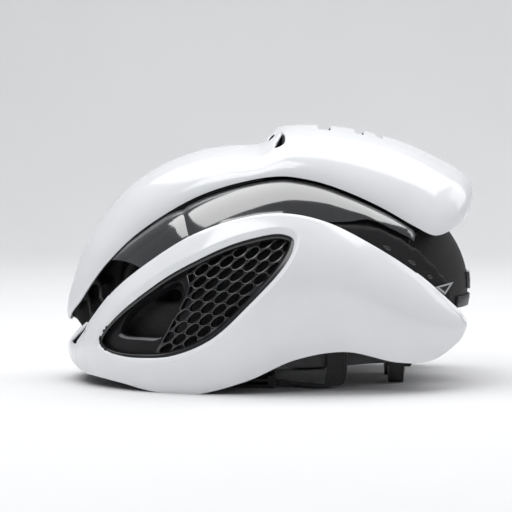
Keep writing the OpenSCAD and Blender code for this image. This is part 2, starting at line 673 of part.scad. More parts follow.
// Left band: eye and pin at the temple, strip round the head, rack in the cradle
module left_band() {
    color([0.1, 0.1, 0.1]) {
        z0 = temple.z - band_h / 2;
        difference() {
            union() {
                translate([0, 0, z0]) strip(band_route(), band_t, 0, band_h);
                translate([temple.x, -temple_y + eye_t / 2, temple.z]) rotate([90, 0, 0])
                    cylinder(h = eye_t, d = eye_d, $fn = 48);
                translate([temple.x, -temple_y, temple.z]) rotate([90, 0, 0]) {
                    cylinder(h = boss_h, d = anchor_d - 2, $fn = 48);
                    cylinder(h = pin_len, d = pin_d, $fn = 48);
                }
                band_rack(1);
            }
            translate([rack_x - 6, -38.2, temple.z - band_h / 2 - 1]) cube([12, 3, band_h / 2 + 1 + strip_gap]);
        }
    }
}
// Straight end of a band in the cradle, up = 1 above the pinion and -1 below it
module band_rack(up) {
    reach = band_travel / 2 + 3;
    root = pinion_r + band_travel + 3;
    translate([0, 0, temple.z]) scale([1, 1, up]) {
        translate([rack_x - band_t / 2, -37, strip_gap]) cube([band_t, 37 - root, band_h / 2 - strip_gap]);
        translate([rack_x - rack_w / 2, -root - 1, pinion_r + tooth_h + 0.1])
            cube([rack_w, root + 1 + reach, band_h / 2 - pinion_r - tooth_h - 0.1]);
        for (k = [-ceil(band_travel / pitch) - 1:floor((reach - 0.8) / pitch)])
            translate([rack_x - rack_w / 2, k * pitch, pinion_r]) rotate([90, 0, 90]) linear_extrude(rack_w)
                polygon([[-tooth_w * 0.6, tooth_h + 0.3], [-tooth_w * 0.35, -tooth_h + 0.1],
                    [tooth_w * 0.35, -tooth_h + 0.1], [tooth_w * 0.6, tooth_h + 0.3]]);
    }
}
module right_band() {
    color([0.1, 0.1, 0.1]) mirror([0, 1, 0]) {
        z0 = temple.z - band_h / 2;
        difference() {
            union() {
                translate([0, 0, z0]) strip(band_route(), band_t, 0, band_h);
                translate([temple.x, -temple_y + eye_t / 2, temple.z]) rotate([90, 0, 0])
                    cylinder(h = eye_t, d = eye_d, $fn = 48);
                translate([temple.x, -temple_y, temple.z]) rotate([90, 0, 0]) {
                    cylinder(h = boss_h, d = anchor_d - 2, $fn = 48);
                    cylinder(h = pin_len, d = pin_d, $fn = 48);
                }
                band_rack(-1);
            }
            translate([rack_x - 6, -38.2, temple.z - strip_gap]) cube([12, 3, band_h / 2 + 1 + strip_gap]);
        }
    }
}
// Socket in the foam for a temple pin
module left_temple_anchor() {
    y0 = temple_y + boss_h + 0.4;
    color([0.15, 0.15, 0.15]) translate([temple.x, 0, temple.z]) rotate([90, 0, 0]) difference() {
        translate([0, 0, y0]) cylinder(h = 20, d = anchor_d, $fn = 48);
        translate([0, 0, y0 - 1]) cylinder(h = pin_len + 2.4, d = pin_d + 2 * pin_gap, $fn = 48);
    }
}
module right_temple_anchor() {
    mirror([0, 1, 0]) left_temple_anchor();
}

// Outline of the cradle seen from behind, shrunk by in. Its feet are flat where they stand.
module cradle_outline(in) {
    intersection() {
        offset(r = -in) union() {
            translate([-cradle_w / 2 + 8, 16]) square([cradle_w - 16, cradle_h - 16]);
            for (s = [-1, 1]) hull() {
                translate([s * (cradle_w / 2 - 8), cradle_h - 8]) circle(8, $fn = 32);
                translate([s * (cradle_w / 2 - 9), 8.4]) circle(9, $fn = 32);
                translate([s * (cradle_w / 2 - 16), cradle_h - 8]) circle(8, $fn = 32);
            }
            translate([0, temple.z]) circle(cradle_h - temple.z, $fn = 64);
        }
        translate([-60, in]) square([120, 60]);
    }
}
module cradle_prism(x0, x1, in) {
    translate([x0, 0, 0]) rotate([90, 0, 90]) linear_extrude(x1 - x0) cradle_outline(in);
}
screw_places = [for (s = [-1, 1]) for (z = [8.5, 31]) [s * (cradle_w / 2 - 8), z]];
module cradle_body() {
    color([0.13, 0.13, 0.13]) difference() {
        cradle_prism(cradle_front, cradle_back, 0);
        difference() {
            cradle_prism(cradle_front + wall, cradle_back + 1, wall);
            for (p = screw_places) translate([cradle_front, p.x, p.y]) rotate([0, 90, 0]) cylinder(h = 20, r = 3.2, $fn = 24);
        }
        for (s = [-1, 1]) translate([rack_x - rack_w / 2 - slot_gap, s * cradle_w / 2 - 12, temple.z - band_h / 2 - slot_gap])
            cube([rack_w + 2 * slot_gap, 24, band_h + 2 * slot_gap]);
        for (p = screw_places) translate([cradle_front + 2, p.x, p.y]) rotate([0, 90, 0]) cylinder(h = 20, r = 1, $fn = 24);
    }
}
module cradle_cover() {
    color([0.1, 0.1, 0.1]) difference() {
        cradle_prism(cradle_back, cradle_back + cover_t, 0);
        translate([cradle_back - 1, 0, temple.z]) rotate([0, 90, 0]) cylinder(h = 9, d = shaft_d + 0.2, $fn = 48);
        for (p = screw_places) translate([cradle_back - 1, p.x, p.y]) rotate([0, 90, 0]) cylinder(h = 9, r = 1.35, $fn = 24);
    }
}
module cover_screw(p) {
    color([0.5, 0.5, 0.52]) translate([cradle_back, p.x, p.y]) rotate([0, 90, 0]) difference() {
        union() {
            translate([0, 0, cover_t]) cylinder(h = 1.1, r = 2, $fn = 32);
            translate([0, 0, -3.6]) cylinder(h = cover_t + 3.7, r = 0.95, $fn = 24);
        }
        translate([0, 0, cover_t + 0.5]) cube([2.2, 0.5, 1.4], center = true);
    }
}
module cover_screw_1() {
    cover_screw(screw_places[0]);
}
module cover_screw_2() {
    cover_screw(screw_places[1]);
}
module cover_screw_3() {
    cover_screw(screw_places[2]);
}
module cover_screw_4() {
    cover_screw(screw_places[3]);
}
dial_x = cradle_back + cover_t + dial_gap;
module dial() {
    color([0.08, 0.08, 0.08]) translate([dial_x, 0, temple.z]) rotate([0, 90, 0]) difference() {
        union() {
            cylinder(h = dial_t - 1, d = dial_d, $fn = 72);
            translate([0, 0, dial_t - 1]) cylinder(h = 1, d1 = dial_d, d2 = dial_d - 2, $fn = 72);
        }
        for (a = [0:20:340]) rotate(a) translate([dial_d / 2 + 1.1, 0, -1]) cylinder(h = dial_t + 2, r = 1.9, $fn = 24);
        translate([0, 0, dial_t - 1.2]) cylinder(h = 2, d = dial_d - 9, $fn = 64);
    }
}
module dial_pinion() {
    len_x = rack_w + 1.2;
    color([0.7, 0.7, 0.7]) translate([rack_x, 0, temple.z]) rotate([0, 90, 0]) {
        translate([0, 0, len_x / 2]) cylinder(h = dial_x - rack_x - len_x / 2, d = shaft_d, $fn = 48);
        translate([0, 0, -len_x / 2]) linear_extrude(len_x) union() {
            circle(pinion_r - tooth_h - 0.1, $fn = 48);
            for (k = [0:pinion_teeth - 1]) rotate((k + 0.5) * 360 / pinion_teeth)
                polygon([[pinion_r - tooth_h - 0.6, -tooth_w * 0.6], [pinion_r + tooth_h - 0.2, -tooth_w * 0.3],
                    [pinion_r + tooth_h - 0.2, tooth_w * 0.3], [pinion_r - tooth_h - 0.6, tooth_w * 0.6]]);
        }
    }
}
// Height strap on top of the cradle, and the guide in the foam that it slides in
hanger_w = 12;
hanger_top = guide_z + guide_h + 5;
module hanger() {
    color([0.13, 0.13, 0.13]) {
        translate([rack_x - 0.6, -hanger_w / 2, cradle_h]) cube([1.6, hanger_w, hanger_top - cradle_h - 3]);
        translate([rack_x - 0.6, 0, hanger_top - 6]) rotate([0, 90, 0]) cylinder(h = 1.6, d = hanger_w, $fn = 48);
        translate([cradle_front, -hanger_w, cradle_h]) cube([cradle_back - cradle_front, 2 * hanger_w, 2]);
    }
}
module hanger_guide() {
    room = 6;
    color([0.16, 0.16, 0.16]) difference() {
        translate([guide_x - room - wall, -guide_w / 2, guide_z]) cube([room + wall + 7.4, guide_w, guide_h]);
        translate([guide_x - room, -hanger_w / 2 - 0.4, guide_z - 1]) cube([room - 0.1, hanger_w + 0.8, guide_h + 2]);
    }
}
// Soft pad on the front of the cradle
module left_nape_pad() {
    color([0.12, 0.12, 0.13]) {
        g = [for (i = [0:6]) [for (j = [0:6]) let(u = i / 3 - 1, v = j / 3 - 1)
            [cradle_front - 0.3, 9 - cradle_w / 2 + 5 - 9 * u, 21 + 11 * v,
                1 + 2.6 * (1 - pow(u, 4)) * (1 - pow(v, 4))]]];
        shell_solid([for (c = g) [for (p = c) [p.x - p[3], p.y, p.z]]], [for (c = g) [for (p = c) [p.x, p.y, p.z]]]);
    }
}
module right_nape_pad() {
    mirror([0, 1, 0]) left_nape_pad();
}

// Straps. A route row is [x, y, z, width direction x, y, z].
strap_anchor_places = [[-38, 9.5], [45, 35]];
divider = [-12, 45, 0];
divider_size = [28, 24];
chin_z = 3.2;
floor_z = 1;
function ribbon_rings(route, n, w, t) = [for (i = [0:n])
    let(r = spline(route, i / n), a = spline(route, i / n - 0.02), b = spline(route, i / n + 0.02),
        p = [r[0], r[1], r[2]], d = unit([b[0] - a[0], b[1] - a[1], b[2] - a[2]]),
        e = [r[3], r[4], r[5]], f = unit(e - (e * d) * d), g = cross(d, f))
    [p + w / 2 * f + t / 2 * g, p - w / 2 * f + t / 2 * g, p - w / 2 * f - t / 2 * g, p + w / 2 * f - t / 2 * g]];
module ribbon(route, n) {
    ring_solid(ribbon_rings(route, n, strap_w, strap_t));
}
front_y = wall_y(strap_anchor_places[0].x, 0);
rear_y = wall_y(strap_anchor_places[1].x, 0);
front_lean = wall_slope(-38);
rear_lean = wall_slope(45);
front_route = [[-38, -front_y + 2, 8, 1, front_lean, 0], [-38, -front_y + 2.4, 5.4, 1, front_lean, 0],
    [-37.4, -front_y + 5.4, chin_z + 0.1, 1, -0.3, 0], [-34, -front_y + 10.5, chin_z, 0.9, -0.5, 0],
    [-28, -54.5, chin_z, 0.8, -0.6, 0], [-22, -47, chin_z, 0.78, -0.62, 0]];
rear_route = [[45, -rear_y + 2, 33.6, 1, rear_lean, 0], [45, -rear_y + 2, 20, 1, rear_lean, 0],
    [44.5, -rear_y + 2.6, 10, 1, rear_lean, 0], [42, -rear_y + 7, 3, 0.85, 0.5, 0],
    [34, -rear_y + 13, floor_z, 0.5, 0.85, 0], [20, -49, floor_z + 0.6, 0.25, 0.95, 0],
    [8, -46.5, chin_z - 0.2, 0.1, 1, 0], [-2, -46, chin_z, 0, 1, 0]];
chin_route = [[divider.x, -36.5, chin_z, 1, 0, 0], [divider.x, -28, chin_z, 1, 0, 0],
    [divider.x, -18, chin_z, 1, 0, 0]];
module left_front_strap() {
    color([0.07, 0.07, 0.07]) ribbon(front_route, 16);
}
module right_front_strap() {
    mirror([0, 1, 0]) left_front_strap();
}
module left_rear_strap() {
    color([0.07, 0.07, 0.07]) ribbon(rear_route, 24);
}
module right_rear_strap() {
    mirror([0, 1, 0]) left_rear_strap();
}
module left_chin_strap() {
    color([0.07, 0.07, 0.07]) ribbon(chin_route, 8);
}
module right_chin_strap() {
    mirror([0, 1, 0]) left_chin_strap();
}
module strap_anchor(a) {
    color([0.15, 0.15, 0.15]) at_wall(a) difference() {
        translate([-strap_w / 2 - 2, -7, -3]) cube([strap_w + 4, 10, 6]);
        translate([-strap_w / 2 - 0.8, 0.8, -4]) cube([strap_w + 1.6, 1 + strap_t, 5.4]);
    }
}
module left_front_anchor() {
    strap_anchor(strap_anchor_places[0]);
}
module right_front_anchor() {
    mirror([0, 1, 0]) strap_anchor(strap_anchor_places[0]);
}
module left_rear_anchor() {
    strap_anchor(strap_anchor_places[1]);
}
module right_rear_anchor() {
    mirror([0, 1, 0]) strap_anchor(strap_anchor_places[1]);
}

// Divider: a plate below the straps with two ears, and a lever that shuts down on the straps
lever_pin_d = 2.4;
lever_z = chin_z + strap_t / 2 + 1.9;
hinge_x = divider.x + divider_size.x / 2 - 1.6;
module divider_at() {
    translate([0, -divider.y, 0]) children();
}
module left_divider() {
    color([0.1, 0.1, 0.1]) divider_at() {
        translate([divider.x - divider_size.x / 2, -divider_size.y / 2, 0.4])
            cube([divider_size.x, divider_size.y, chin_z - strap_t / 2 - 0.7]);
        for (s = [-1, 1]) difference() {
            translate([hinge_x - 2.6, s * (divider_size.y / 2 + 1) - 1, 0.4]) cube([5.2, 2, lever_z + 2]);
            translate([hinge_x, s * (divider_size.y / 2 + 1) + 2, lever_z]) rotate([90, 0, 0])
                cylinder(h = 4, d = lever_pin_d + 2 * pin_gap, $fn = 32);
        }
    }
}
module left_divider_lever() {
    color([0.12, 0.12, 0.12]) divider_at() {
        w = divider_size.y - 0.8;
        translate([hinge_x, divider_size.y / 2 + 1.8, lever_z]) rotate([90, 0, 0])
            cylinder(h = divider_size.y + 3.6, d = lever_pin_d, $fn = 32);
        translate([hinge_x, w / 2, lever_z]) rotate([90, 0, 0]) cylinder(h = w, r = 1.6, $fn = 32);
        translate([hinge_x - divider_size.x + 3.5, -w / 2, lever_z - 1.6]) cube([divider_size.x - 3.5, w, divider_t]);
        for (k = [1:3]) translate([hinge_x - divider_size.x + 3.5 + 2.4 * k, -w / 2 + 2, lever_z - 1.6 + divider_t])
            cube([1, w - 4, 0.5]);
    }
}
module right_divider() {
    mirror([0, 1, 0]) left_divider();
}
module right_divider_lever() {
    mirror([0, 1, 0]) left_divider_lever();
}

// Magnetic buckle: the tongue rides along X on a rail of the base
buckle = [divider.x, 0, 0.5];
half_h = 3.8;
half_l = 30;
rail_w = 6;
magnet_d = 5;
magnet_y = 7.6;
module buckle_half() {
    translate([-buckle_w / 2, -19, 0]) cube([buckle_w, half_l, half_h]);
}
module buckle_base() {
    color([0.1, 0.1, 0.1]) translate(buckle) difference() {
        union() {
            buckle_half();
            translate([-buckle_w / 2, -rail_w / 2, half_h]) cube([buckle_w, rail_w, 1.6]);
            translate([-buckle_w / 2, -rail_w / 2 - 1, half_h + 0.8]) cube([buckle_w, rail_w + 2, 0.8]);
        }
        translate([-strap_w / 2 - 0.4, -20, chin_z - buckle.z - strap_t / 2 - 0.3]) cube([strap_w + 0.8, 3, strap_t + 0.6]);
        translate([-strap_w / 2 - 0.4, -15.5, -1]) cube([strap_w + 0.8, 2.4, half_h + 2]);
        translate([0, magnet_y, half_h - 1.5]) cylinder(h = 2, d = magnet_d + 0.2, $fn = 40);
    }
}
tongue_z = buckle.z + half_h + 0.3;
module buckle_tongue() {
    color([0.12, 0.12, 0.12]) translate([buckle.x, 0, tongue_z]) difference() {
        union() {
            translate([-buckle_w / 2, -11, 0]) cube([buckle_w, half_l - 3, half_h]);
            translate([-buckle_w / 2, 12.5, -half_h]) cube([buckle_w, 6.5, half_h + 0.1]);
        }
        translate([-buckle_w / 2 - 1, -rail_w / 2 - 0.3, -1]) cube([buckle_w + 2, rail_w + 0.6, 1.8]);
        translate([0, magnet_y, -1]) cylinder(h = 2.5, d = magnet_d + 0.2, $fn = 40);
        translate([-buckle_w / 2 - 1, -rail_w / 2 - 1.3, 0.2]) cube([buckle_w + 2, rail_w + 2.6, 1.5]);
        translate([-buckle_w / 2 - 1, 17, chin_z - tongue_z - strap_t / 2 - 0.3]) cube([buckle_w + 2, 3, strap_t + 0.6]);
    }
}
module base_magnet() {
    color([0.6, 0.6, 0.62]) translate([buckle.x, magnet_y, buckle.z + half_h - 1.5])
        cylinder(h = 1.45, d = magnet_d, $fn = 40);
}
module tongue_magnet() {
    color([0.6, 0.6, 0.62]) translate([buckle.x, magnet_y, tongue_z + 0.05])
        cylinder(h = 1.45, d = magnet_d, $fn = 40);
}
// Rubber keeper on the left chin strap and soft pad on the right one
keeper_y = 26;
module strap_keeper() {
    color([0.1, 0.1, 0.1]) translate([divider.x, -keeper_y, chin_z]) difference() {
        cube([strap_w + 3.4, 4, strap_t + 2.8], center = true);
        cube([strap_w + 0.6, 6, strap_t + 0.5], center = true);
    }
}
module chin_pad() {
    color([0.12, 0.12, 0.13]) {
        g = [for (i = [0:6]) [for (j = [0:8]) let(u = i / 3 - 1, v = j / 4 - 1)
            [divider.x + 9.5 * u, 25 + 5 * v, chin_z + strap_t / 2 + 0.3, 0.8 + 3 * (1 - pow(u, 4)) * (1 - pow(v, 4))]]];
        shell_solid([for (c = g) [for (p = c) [p.x, p.y, p.z + p[3]]]], [for (c = g) [for (p = c) [p.x, p.y, p.z]]]);
    }
}

eps_liner();
crown_shell();
scoop_ribs();
left_side_shell();
right_side_shell();
brow_shell();
brow_rim();
left_gloss_band();
right_gloss_band();
left_vent_frame();
right_vent_frame();
left_side_grille();
right_side_grille();
rear_reflector();
nape_trim();
left_rear_fin();
right_rear_fin();
brow_pad();
left_side_pad();
right_side_pad();
left_crown_pad();
right_crown_pad();
left_band();
right_band();
left_temple_anchor();
right_temple_anchor();
cradle_body();
cradle_cover();
cover_screw_1();
cover_screw_2();
cover_screw_3();
cover_screw_4();
dial();
dial_pinion();
hanger();
hanger_guide();
left_nape_pad();
right_nape_pad();
left_front_strap();
right_front_strap();
left_rear_strap();
right_rear_strap();
left_chin_strap();
right_chin_strap();
left_front_anchor();
right_front_anchor();
left_rear_anchor();
right_rear_anchor();
left_divider();
left_divider_lever();
right_divider();
right_divider_lever();
buckle_base();
buckle_tongue();
base_magnet();
tongue_magnet();
strap_keeper();
chin_pad();
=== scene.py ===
import math

import bpy
import bmesh
import numpy as np
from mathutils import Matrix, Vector
from mathutils.bvhtree import BVHTree


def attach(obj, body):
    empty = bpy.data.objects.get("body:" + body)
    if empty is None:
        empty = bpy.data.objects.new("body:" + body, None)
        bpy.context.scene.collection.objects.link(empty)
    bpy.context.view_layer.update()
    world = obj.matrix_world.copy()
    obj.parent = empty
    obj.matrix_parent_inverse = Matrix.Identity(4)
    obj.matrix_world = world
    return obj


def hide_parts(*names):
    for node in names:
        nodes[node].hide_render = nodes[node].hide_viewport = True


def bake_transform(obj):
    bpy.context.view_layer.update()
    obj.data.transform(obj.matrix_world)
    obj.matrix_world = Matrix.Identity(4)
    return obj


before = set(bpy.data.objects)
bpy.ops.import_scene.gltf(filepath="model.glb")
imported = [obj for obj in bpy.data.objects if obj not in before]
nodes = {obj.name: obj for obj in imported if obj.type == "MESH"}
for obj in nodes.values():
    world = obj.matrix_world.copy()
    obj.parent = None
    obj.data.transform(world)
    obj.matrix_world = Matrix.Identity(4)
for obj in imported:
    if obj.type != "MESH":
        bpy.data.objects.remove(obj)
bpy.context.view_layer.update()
scene = bpy.context.scene
MM = 0.001

# Camera, at the photograph's viewing angle
PICTURE_PX, FOCAL_PX = 512, 2110
SENSOR = 36
DISTANCE = 1.5
PITCH = math.radians(4)
AIM = Vector((-10.3, 0, 86.9)) * MM
cam_data = bpy.data.cameras.new("camera")
cam_data.sensor_width = SENSOR
cam_data.lens = SENSOR * FOCAL_PX / PICTURE_PX
cam_data.clip_start, cam_data.clip_end = 0.05, 30
camera = bpy.data.objects.new("camera", cam_data)
camera.location = AIM + DISTANCE * Vector((0, -math.cos(PITCH), math.sin(PITCH)))
camera.rotation_euler = (math.pi / 2 - PITCH, 0, 0)
scene.collection.objects.link(camera)
scene.camera = camera
scene.view_settings.view_transform = "Standard"


# Material tools
def material(name):
    """A new material, its node tree and its shader."""
    m = bpy.data.materials.new(name)
    m.use_nodes = True
    nt = m.node_tree
    return m, nt, nt.nodes["Principled BSDF"]


def plug(nt, n, inputs):
    """Links sockets and sets values at a node's inputs."""
    for k, v in inputs.items():
        if isinstance(v, bpy.types.NodeSocket):
            nt.links.new(v, n.inputs[k])
        else:
            n.inputs[k].default_value = v


def node(nt, kind, inputs=None, **props):
    n = nt.nodes.new(kind)
    for k, v in props.items():
        setattr(n, k, v)
    plug(nt, n, inputs or {})
    return n


def coords(nt):
    """Object coordinates in millimetres."""
    inputs = {0: node(nt, "ShaderNodeTexCoord").outputs["Object"], 1: (1 / MM,) * 3}
    return node(nt, "ShaderNodeVectorMath", inputs, operation="MULTIPLY").outputs[0]


def noise(nt, co, scale, detail):
    return node(nt, "ShaderNodeTexNoise", {"Vector": co, "Scale": scale, "Detail": detail}).outputs["Fac"]


def remap(nt, value, a, b, c, d):
    """The range a to b of a value stretched to c to d."""
    return node(nt, "ShaderNodeMapRange", {0: value, 1: a, 2: b, 3: c, 4: d}).outputs[0]


def math_node(nt, op, a, b=0.0):
    return node(nt, "ShaderNodeMath", {0: a, 1: b}, operation=op).outputs[0]


def mix(nt, share, a, b):
    """Colour a, with colour b in its place by share."""
    a, b = ((*c, 1) if isinstance(c, tuple) else c for c in (a, b))
    return node(nt, "ShaderNodeMix", {0: share, 6: a, 7: b}, data_type="RGBA").outputs[2]


def bump(nt, bsdf, height, strength, distance_mm):
    inputs = {"Height": height, "Strength": strength, "Distance": distance_mm * MM}
    plug(nt, bsdf, {"Normal": node(nt, "ShaderNodeBump", inputs).outputs[0]})


def gloss(name, colour, dark, rough, coat, grain=0.03, spec=0.5, coat_ior=1.5):
    """Glossy moulded plastic, slightly uneven in tone and shine."""
    m, nt, b = material(name)
    co = coords(nt)
    cloud = remap(nt, noise(nt, co, 0.02, 4), 0.35, 0.7, 0, 1)
    plug(nt, b, {"Base Color": mix(nt, cloud, colour, dark),
                 "Roughness": remap(nt, noise(nt, co, 0.06, 5), 0.3, 0.75, rough * 0.8, rough * 1.3),
                 "Coat Weight": coat, "Coat Roughness": 0.05, "Coat IOR": coat_ior,
                 "Specular IOR Level": spec})
    bump(nt, b, noise(nt, co, 0.35, 2), 0.25, grain)
    return m


def satin(name, colour, dark, rough, grain_scale=2.2, grain=0.05, spec=0.4):
    """Matt plastic or rubber with a fine grain."""
    m, nt, b = material(name)
    co = coords(nt)
    cloud = remap(nt, noise(nt, co, 0.09, 4), 0.3, 0.7, 0, 1)
    fine = noise(nt, co, grain_scale, 3)
    plug(nt, b, {"Base Color": mix(nt, cloud, colour, dark),
                 "Roughness": remap(nt, fine, 0.3, 0.7, rough - 0.08, rough + 0.1),
                 "Specular IOR Level": spec})
    bump(nt, b, fine, 0.5, grain)
    return m


def foam_material(name, colour, dark, rough, bead, depth):
    """Moulded bead foam: cells of a few millimetres with fine pits in the joints."""
    m, nt, b = material(name)
    co = coords(nt)
    drift = node(nt, "ShaderNodeTexNoise", {"Vector": co, "Scale": 0.3}).outputs["Color"]
    warp = node(nt, "ShaderNodeVectorMath", {0: co, 1: drift}, operation="ADD").outputs[0]
    beads = {"Vector": warp, "Scale": bead}
    joint = node(nt, "ShaderNodeTexVoronoi", beads, feature="DISTANCE_TO_EDGE").outputs["Distance"]
    seam = remap(nt, joint, 0.0, 0.16, 0, 1)
    tone = node(nt, "ShaderNodeTexVoronoi", beads, feature="F1").outputs["Color"]
    tone = node(nt, "ShaderNodeSeparateColor", {0: tone}).outputs[0]
    base = mix(nt, math_node(nt, "MULTIPLY", tone, 0.6), colour, dark)
    fine = noise(nt, co, 3.0, 4)
    plug(nt, b, {"Base Color": mix(nt, seam, tuple(c * 0.6 for c in dark), base),
                 "Roughness": remap(nt, fine, 0.3, 0.7, rough - 0.1, rough + 0.12),
                 "Specular IOR Level": 0.35})
    seam, fine = math_node(nt, "MULTIPLY", seam, 0.5), math_node(nt, "MULTIPLY", fine, 0.35)
    bump(nt, b, math_node(nt, "ADD", seam, fine), 0.7, depth)
    return m


def cloth_material(name, colour, light):
    """Knitted pad cover with a light fuzz."""
    m, nt, b = material(name)
    co = coords(nt)
    knit = node(nt, "ShaderNodeTexVoronoi", {"Vector": co, "Scale": 1.1}, feature="F1").outputs["Distance"]
    plug(nt, b, {"Base Color": mix(nt, remap(nt, knit, 0.1, 0.8, 0, 1), light, colour), "Roughness": 0.9,
                 "Sheen Weight": 0.35, "Sheen Roughness": 0.5, "Specular IOR Level": 0.2})
    bump(nt, b, math_node(nt, "SUBTRACT", noise(nt, co, 5, 3), knit), 0.6, 0.25)
    return m


def web_material(name, colour, light, pitch=1.6):
    """Woven webbing: the UVs are millimetres across and along the strap."""
    m, nt, b = material(name)
    xy = node(nt, "ShaderNodeSeparateXYZ", {0: node(nt, "ShaderNodeUVMap").outputs[0]})
    across, along = (math_node(nt, "SINE", math_node(nt, "MULTIPLY", xy.outputs[i], 2 * math.pi / p))
                     for i, p in ((0, pitch), (1, pitch * 0.75)))
    weave = math_node(nt, "MULTIPLY", math_node(nt, "MULTIPLY", across, along), 0.5)
    ribs = math_node(nt, "ADD", math_node(nt, "MULTIPLY", across, 0.5), weave)
    plug(nt, b, {"Base Color": mix(nt, remap(nt, ribs, -0.6, 0.9, 0, 1), colour, light), "Roughness": 0.72,
                 "Sheen Weight": 0.2, "Specular IOR Level": 0.35})
    bump(nt, b, ribs, 0.8, 0.22)
    return m


def metal(name, colour, rough):
    m, nt, b = material(name)
    co = coords(nt)
    plug(nt, b, {"Base Color": mix(nt, noise(nt, co, 0.8, 4), colour, tuple(c * 0.75 for c in colour)),
                 "Roughness": remap(nt, noise(nt, co, 3, 4), 0.3, 0.7, rough * 0.7, rough * 1.3),
                 "Metallic": 1})
    bump(nt, b, noise(nt, co, 4, 2), 0.2, 0.02)
    return m


WHITE = gloss("white_gloss", (0.83, 0.84, 0.855), (0.79, 0.80, 0.82), 0.16, 0.6)
BLACK = gloss("black_gloss", (0.007, 0.007, 0.008), (0.012, 0.012, 0.013), 0.12, 1.0, 0.02, 0.9, 1.85)
EDGE_BLACK = gloss("black_edge", (0.008, 0.008, 0.009), (0.014, 0.014, 0.015), 0.2, 0.5, 0.02)
GRILLE = gloss("grille_black", (0.011, 0.011, 0.012), (0.018, 0.018, 0.02), 0.22, 0.4, 0.05, 0.6)
PANEL = satin("black_panel", (0.006, 0.006, 0.007), (0.01, 0.01, 0.011), 0.4, spec=0.2)
# Paler black whose lightness is a painted highlight, for the light that the intake's floor catches from above
PAINTED_LIGHT_LIP = gloss("painted_light_lip", (0.11, 0.11, 0.115), (0.15, 0.15, 0.155), 0.2, 0.6, 0.02)
# Mid-grey for a white wall, with its shade painted into the colour
SHADED_WALL_GREY = satin("shaded_wall_grey", (0.30, 0.30, 0.305), (0.36, 0.36, 0.365), 0.5)
SATIN = satin("satin_black", (0.014, 0.014, 0.015), (0.022, 0.022, 0.024), 0.42)
NYLON = satin("nylon_black", (0.028, 0.028, 0.03), (0.042, 0.042, 0.044), 0.5, 3.0, 0.08)
FOAM = foam_material("foam_black", (0.0105, 0.0105, 0.0115), (0.007, 0.007, 0.008), 0.58, 0.42, 0.25)
GREY = gloss("fin_grey", (0.42, 0.42, 0.43), (0.34, 0.34, 0.35), 0.3, 0.3, 0.05)
REFLECTOR = gloss("reflector_smoke", (0.035, 0.035, 0.037), (0.05, 0.05, 0.052), 0.14, 0.8, 0.05)
PAD = cloth_material("pad_fabric", (0.02, 0.02, 0.022), (0.055, 0.055, 0.06))
WEB = web_material("webbing_black", (0.014, 0.014, 0.015), (0.05, 0.05, 0.052))
STEEL = metal("screw_steel", (0.55, 0.55, 0.57), 0.3)
RUBBER = satin("soft_rubber", (0.018, 0.018, 0.018), (0.03, 0.03, 0.03), 0.68, 4.0, 0.1, 0.3)
ACETAL = satin("acetal", (0.55, 0.55, 0.54), (0.48, 0.48, 0.47), 0.4, 2.0, 0.03)


# Form, as in the CAD source, in millimetres
def arr(*p):
    return np.array(p, float)


CREST = arr([-142.4, 0, 41.7], [-144.7, 0, 47.5], [-142.1, 0, 63], [-134, 0, 88], [-122, 0, 110],
            [-102, 0, 134], [-80, 0, 150], [-54, 0, 161], [-30, 0, 165.5], [-8, 0, 167], [2.4, 0, 174.6],
            [9.2, 0, 179.3], [32, 0, 180.2], [54, 0, 178], [78, 0, 173], [100, 0, 165.5], [121, 0, 155.5],
            [136, 0, 146.5], [143, 0, 138.5], [144.5, 0, 131])
EDGE = arr([-142, 4, 43], [-140, 8, 48], [-134, 14, 56], [-127, 20, 67], [-116, 27, 82], [-98, 34, 100.5],
           [-78, 39, 115.5], [-54, 44.5, 129.5], [-32, 49, 138], [-11, 52.5, 143.2], [4, 55, 145.2],
           [16, 57, 144.7], [34, 59, 141], [54, 60.5, 134], [76, 61, 123.8], [98, 60, 111.3],
           [113, 58.5, 105], [128, 47.5, 111], [137, 32, 118.5], [142.5, 12, 127])
WING_TOP = arr([-135.4, 29.6, 28.3], [-130.2, 34.6, 36.2], [-124.3, 40.6, 46.2], [-108, 53.5, 67],
               [-84, 65.8, 87], [-54, 76.8, 106.2], [-22, 82.8, 117.7], [8, 85, 121.5], [38, 84.4, 115.3],
               [70, 80.7, 99], [100, 74.5, 79.3], [124, 66.3, 57.8], [131, 63, 50.0], [133.5, 62, 47])
WING_LOW = arr([-133, 31, 9.5], [-128, 40, 8], [-121, 49, 7.3], [-101.7, 66.5, 4.7], [-78, 79.5, 0.3],
               [-50, 89, 0], [-16, 93, 9.5], [16, 92.8, 23.6], [50, 91, 28.8], [84, 86.8, 21.3],
               [108, 80.5, 21.6], [126, 69.5, 31.9], [132, 63.6, 39], [133.8, 62, 44.4])
WING_SWELL = arr(3.5, 5.5, 8, 15, 23, 27, 28, 27, 25, 20, 13, 5, 2, 0.5)
RIM_TOP = arr([-143.5, 0, 25.2], [-142.6, 9, 26.8], [-140.7, 17, 30], [-137.5, 24.5, 33.9],
              [-132.9, 31, 38.8], [-128.4, 35.6, 43.2])
BROW_EDGE = arr([-143.3, 0, 24.6], [-142.3, 9, 26], [-140.5, 17, 28.7], [-138.6, 22.6, 27],
                [-135.4, 29.6, 28.1])
BROW_LOW = arr([-142.5, 0, 16.5], [-141.5, 11, 15.5], [-138.5, 21, 12.8], [-133.5, 30.6, 9.7])
BROW_SWELL = 1.5
VENT = arr([14.4, 101.5], [5.7, 84.7], [-15.6, 61.3], [-40, 38.3], [-66.8, 26], [-90, 23.1], [-106.5, 23.7],
           [-115.2, 26.8], [-117.9, 32.2], [-112.4, 42.2], [-99.4, 55.4], [-73, 75.8], [-50, 89],
           [-26.3, 99.7], [-3, 106], [9, 106.3])
INTAKE = arr([-60, 73], [-59, 66], [-62.4, 55.7], [-66.7, 47], [-74, 37.7], [-88, 36.6], [-101, 37],
             [-103, 42.3], [-96, 54], [-87, 61], [-72, 71], [-64, 75])
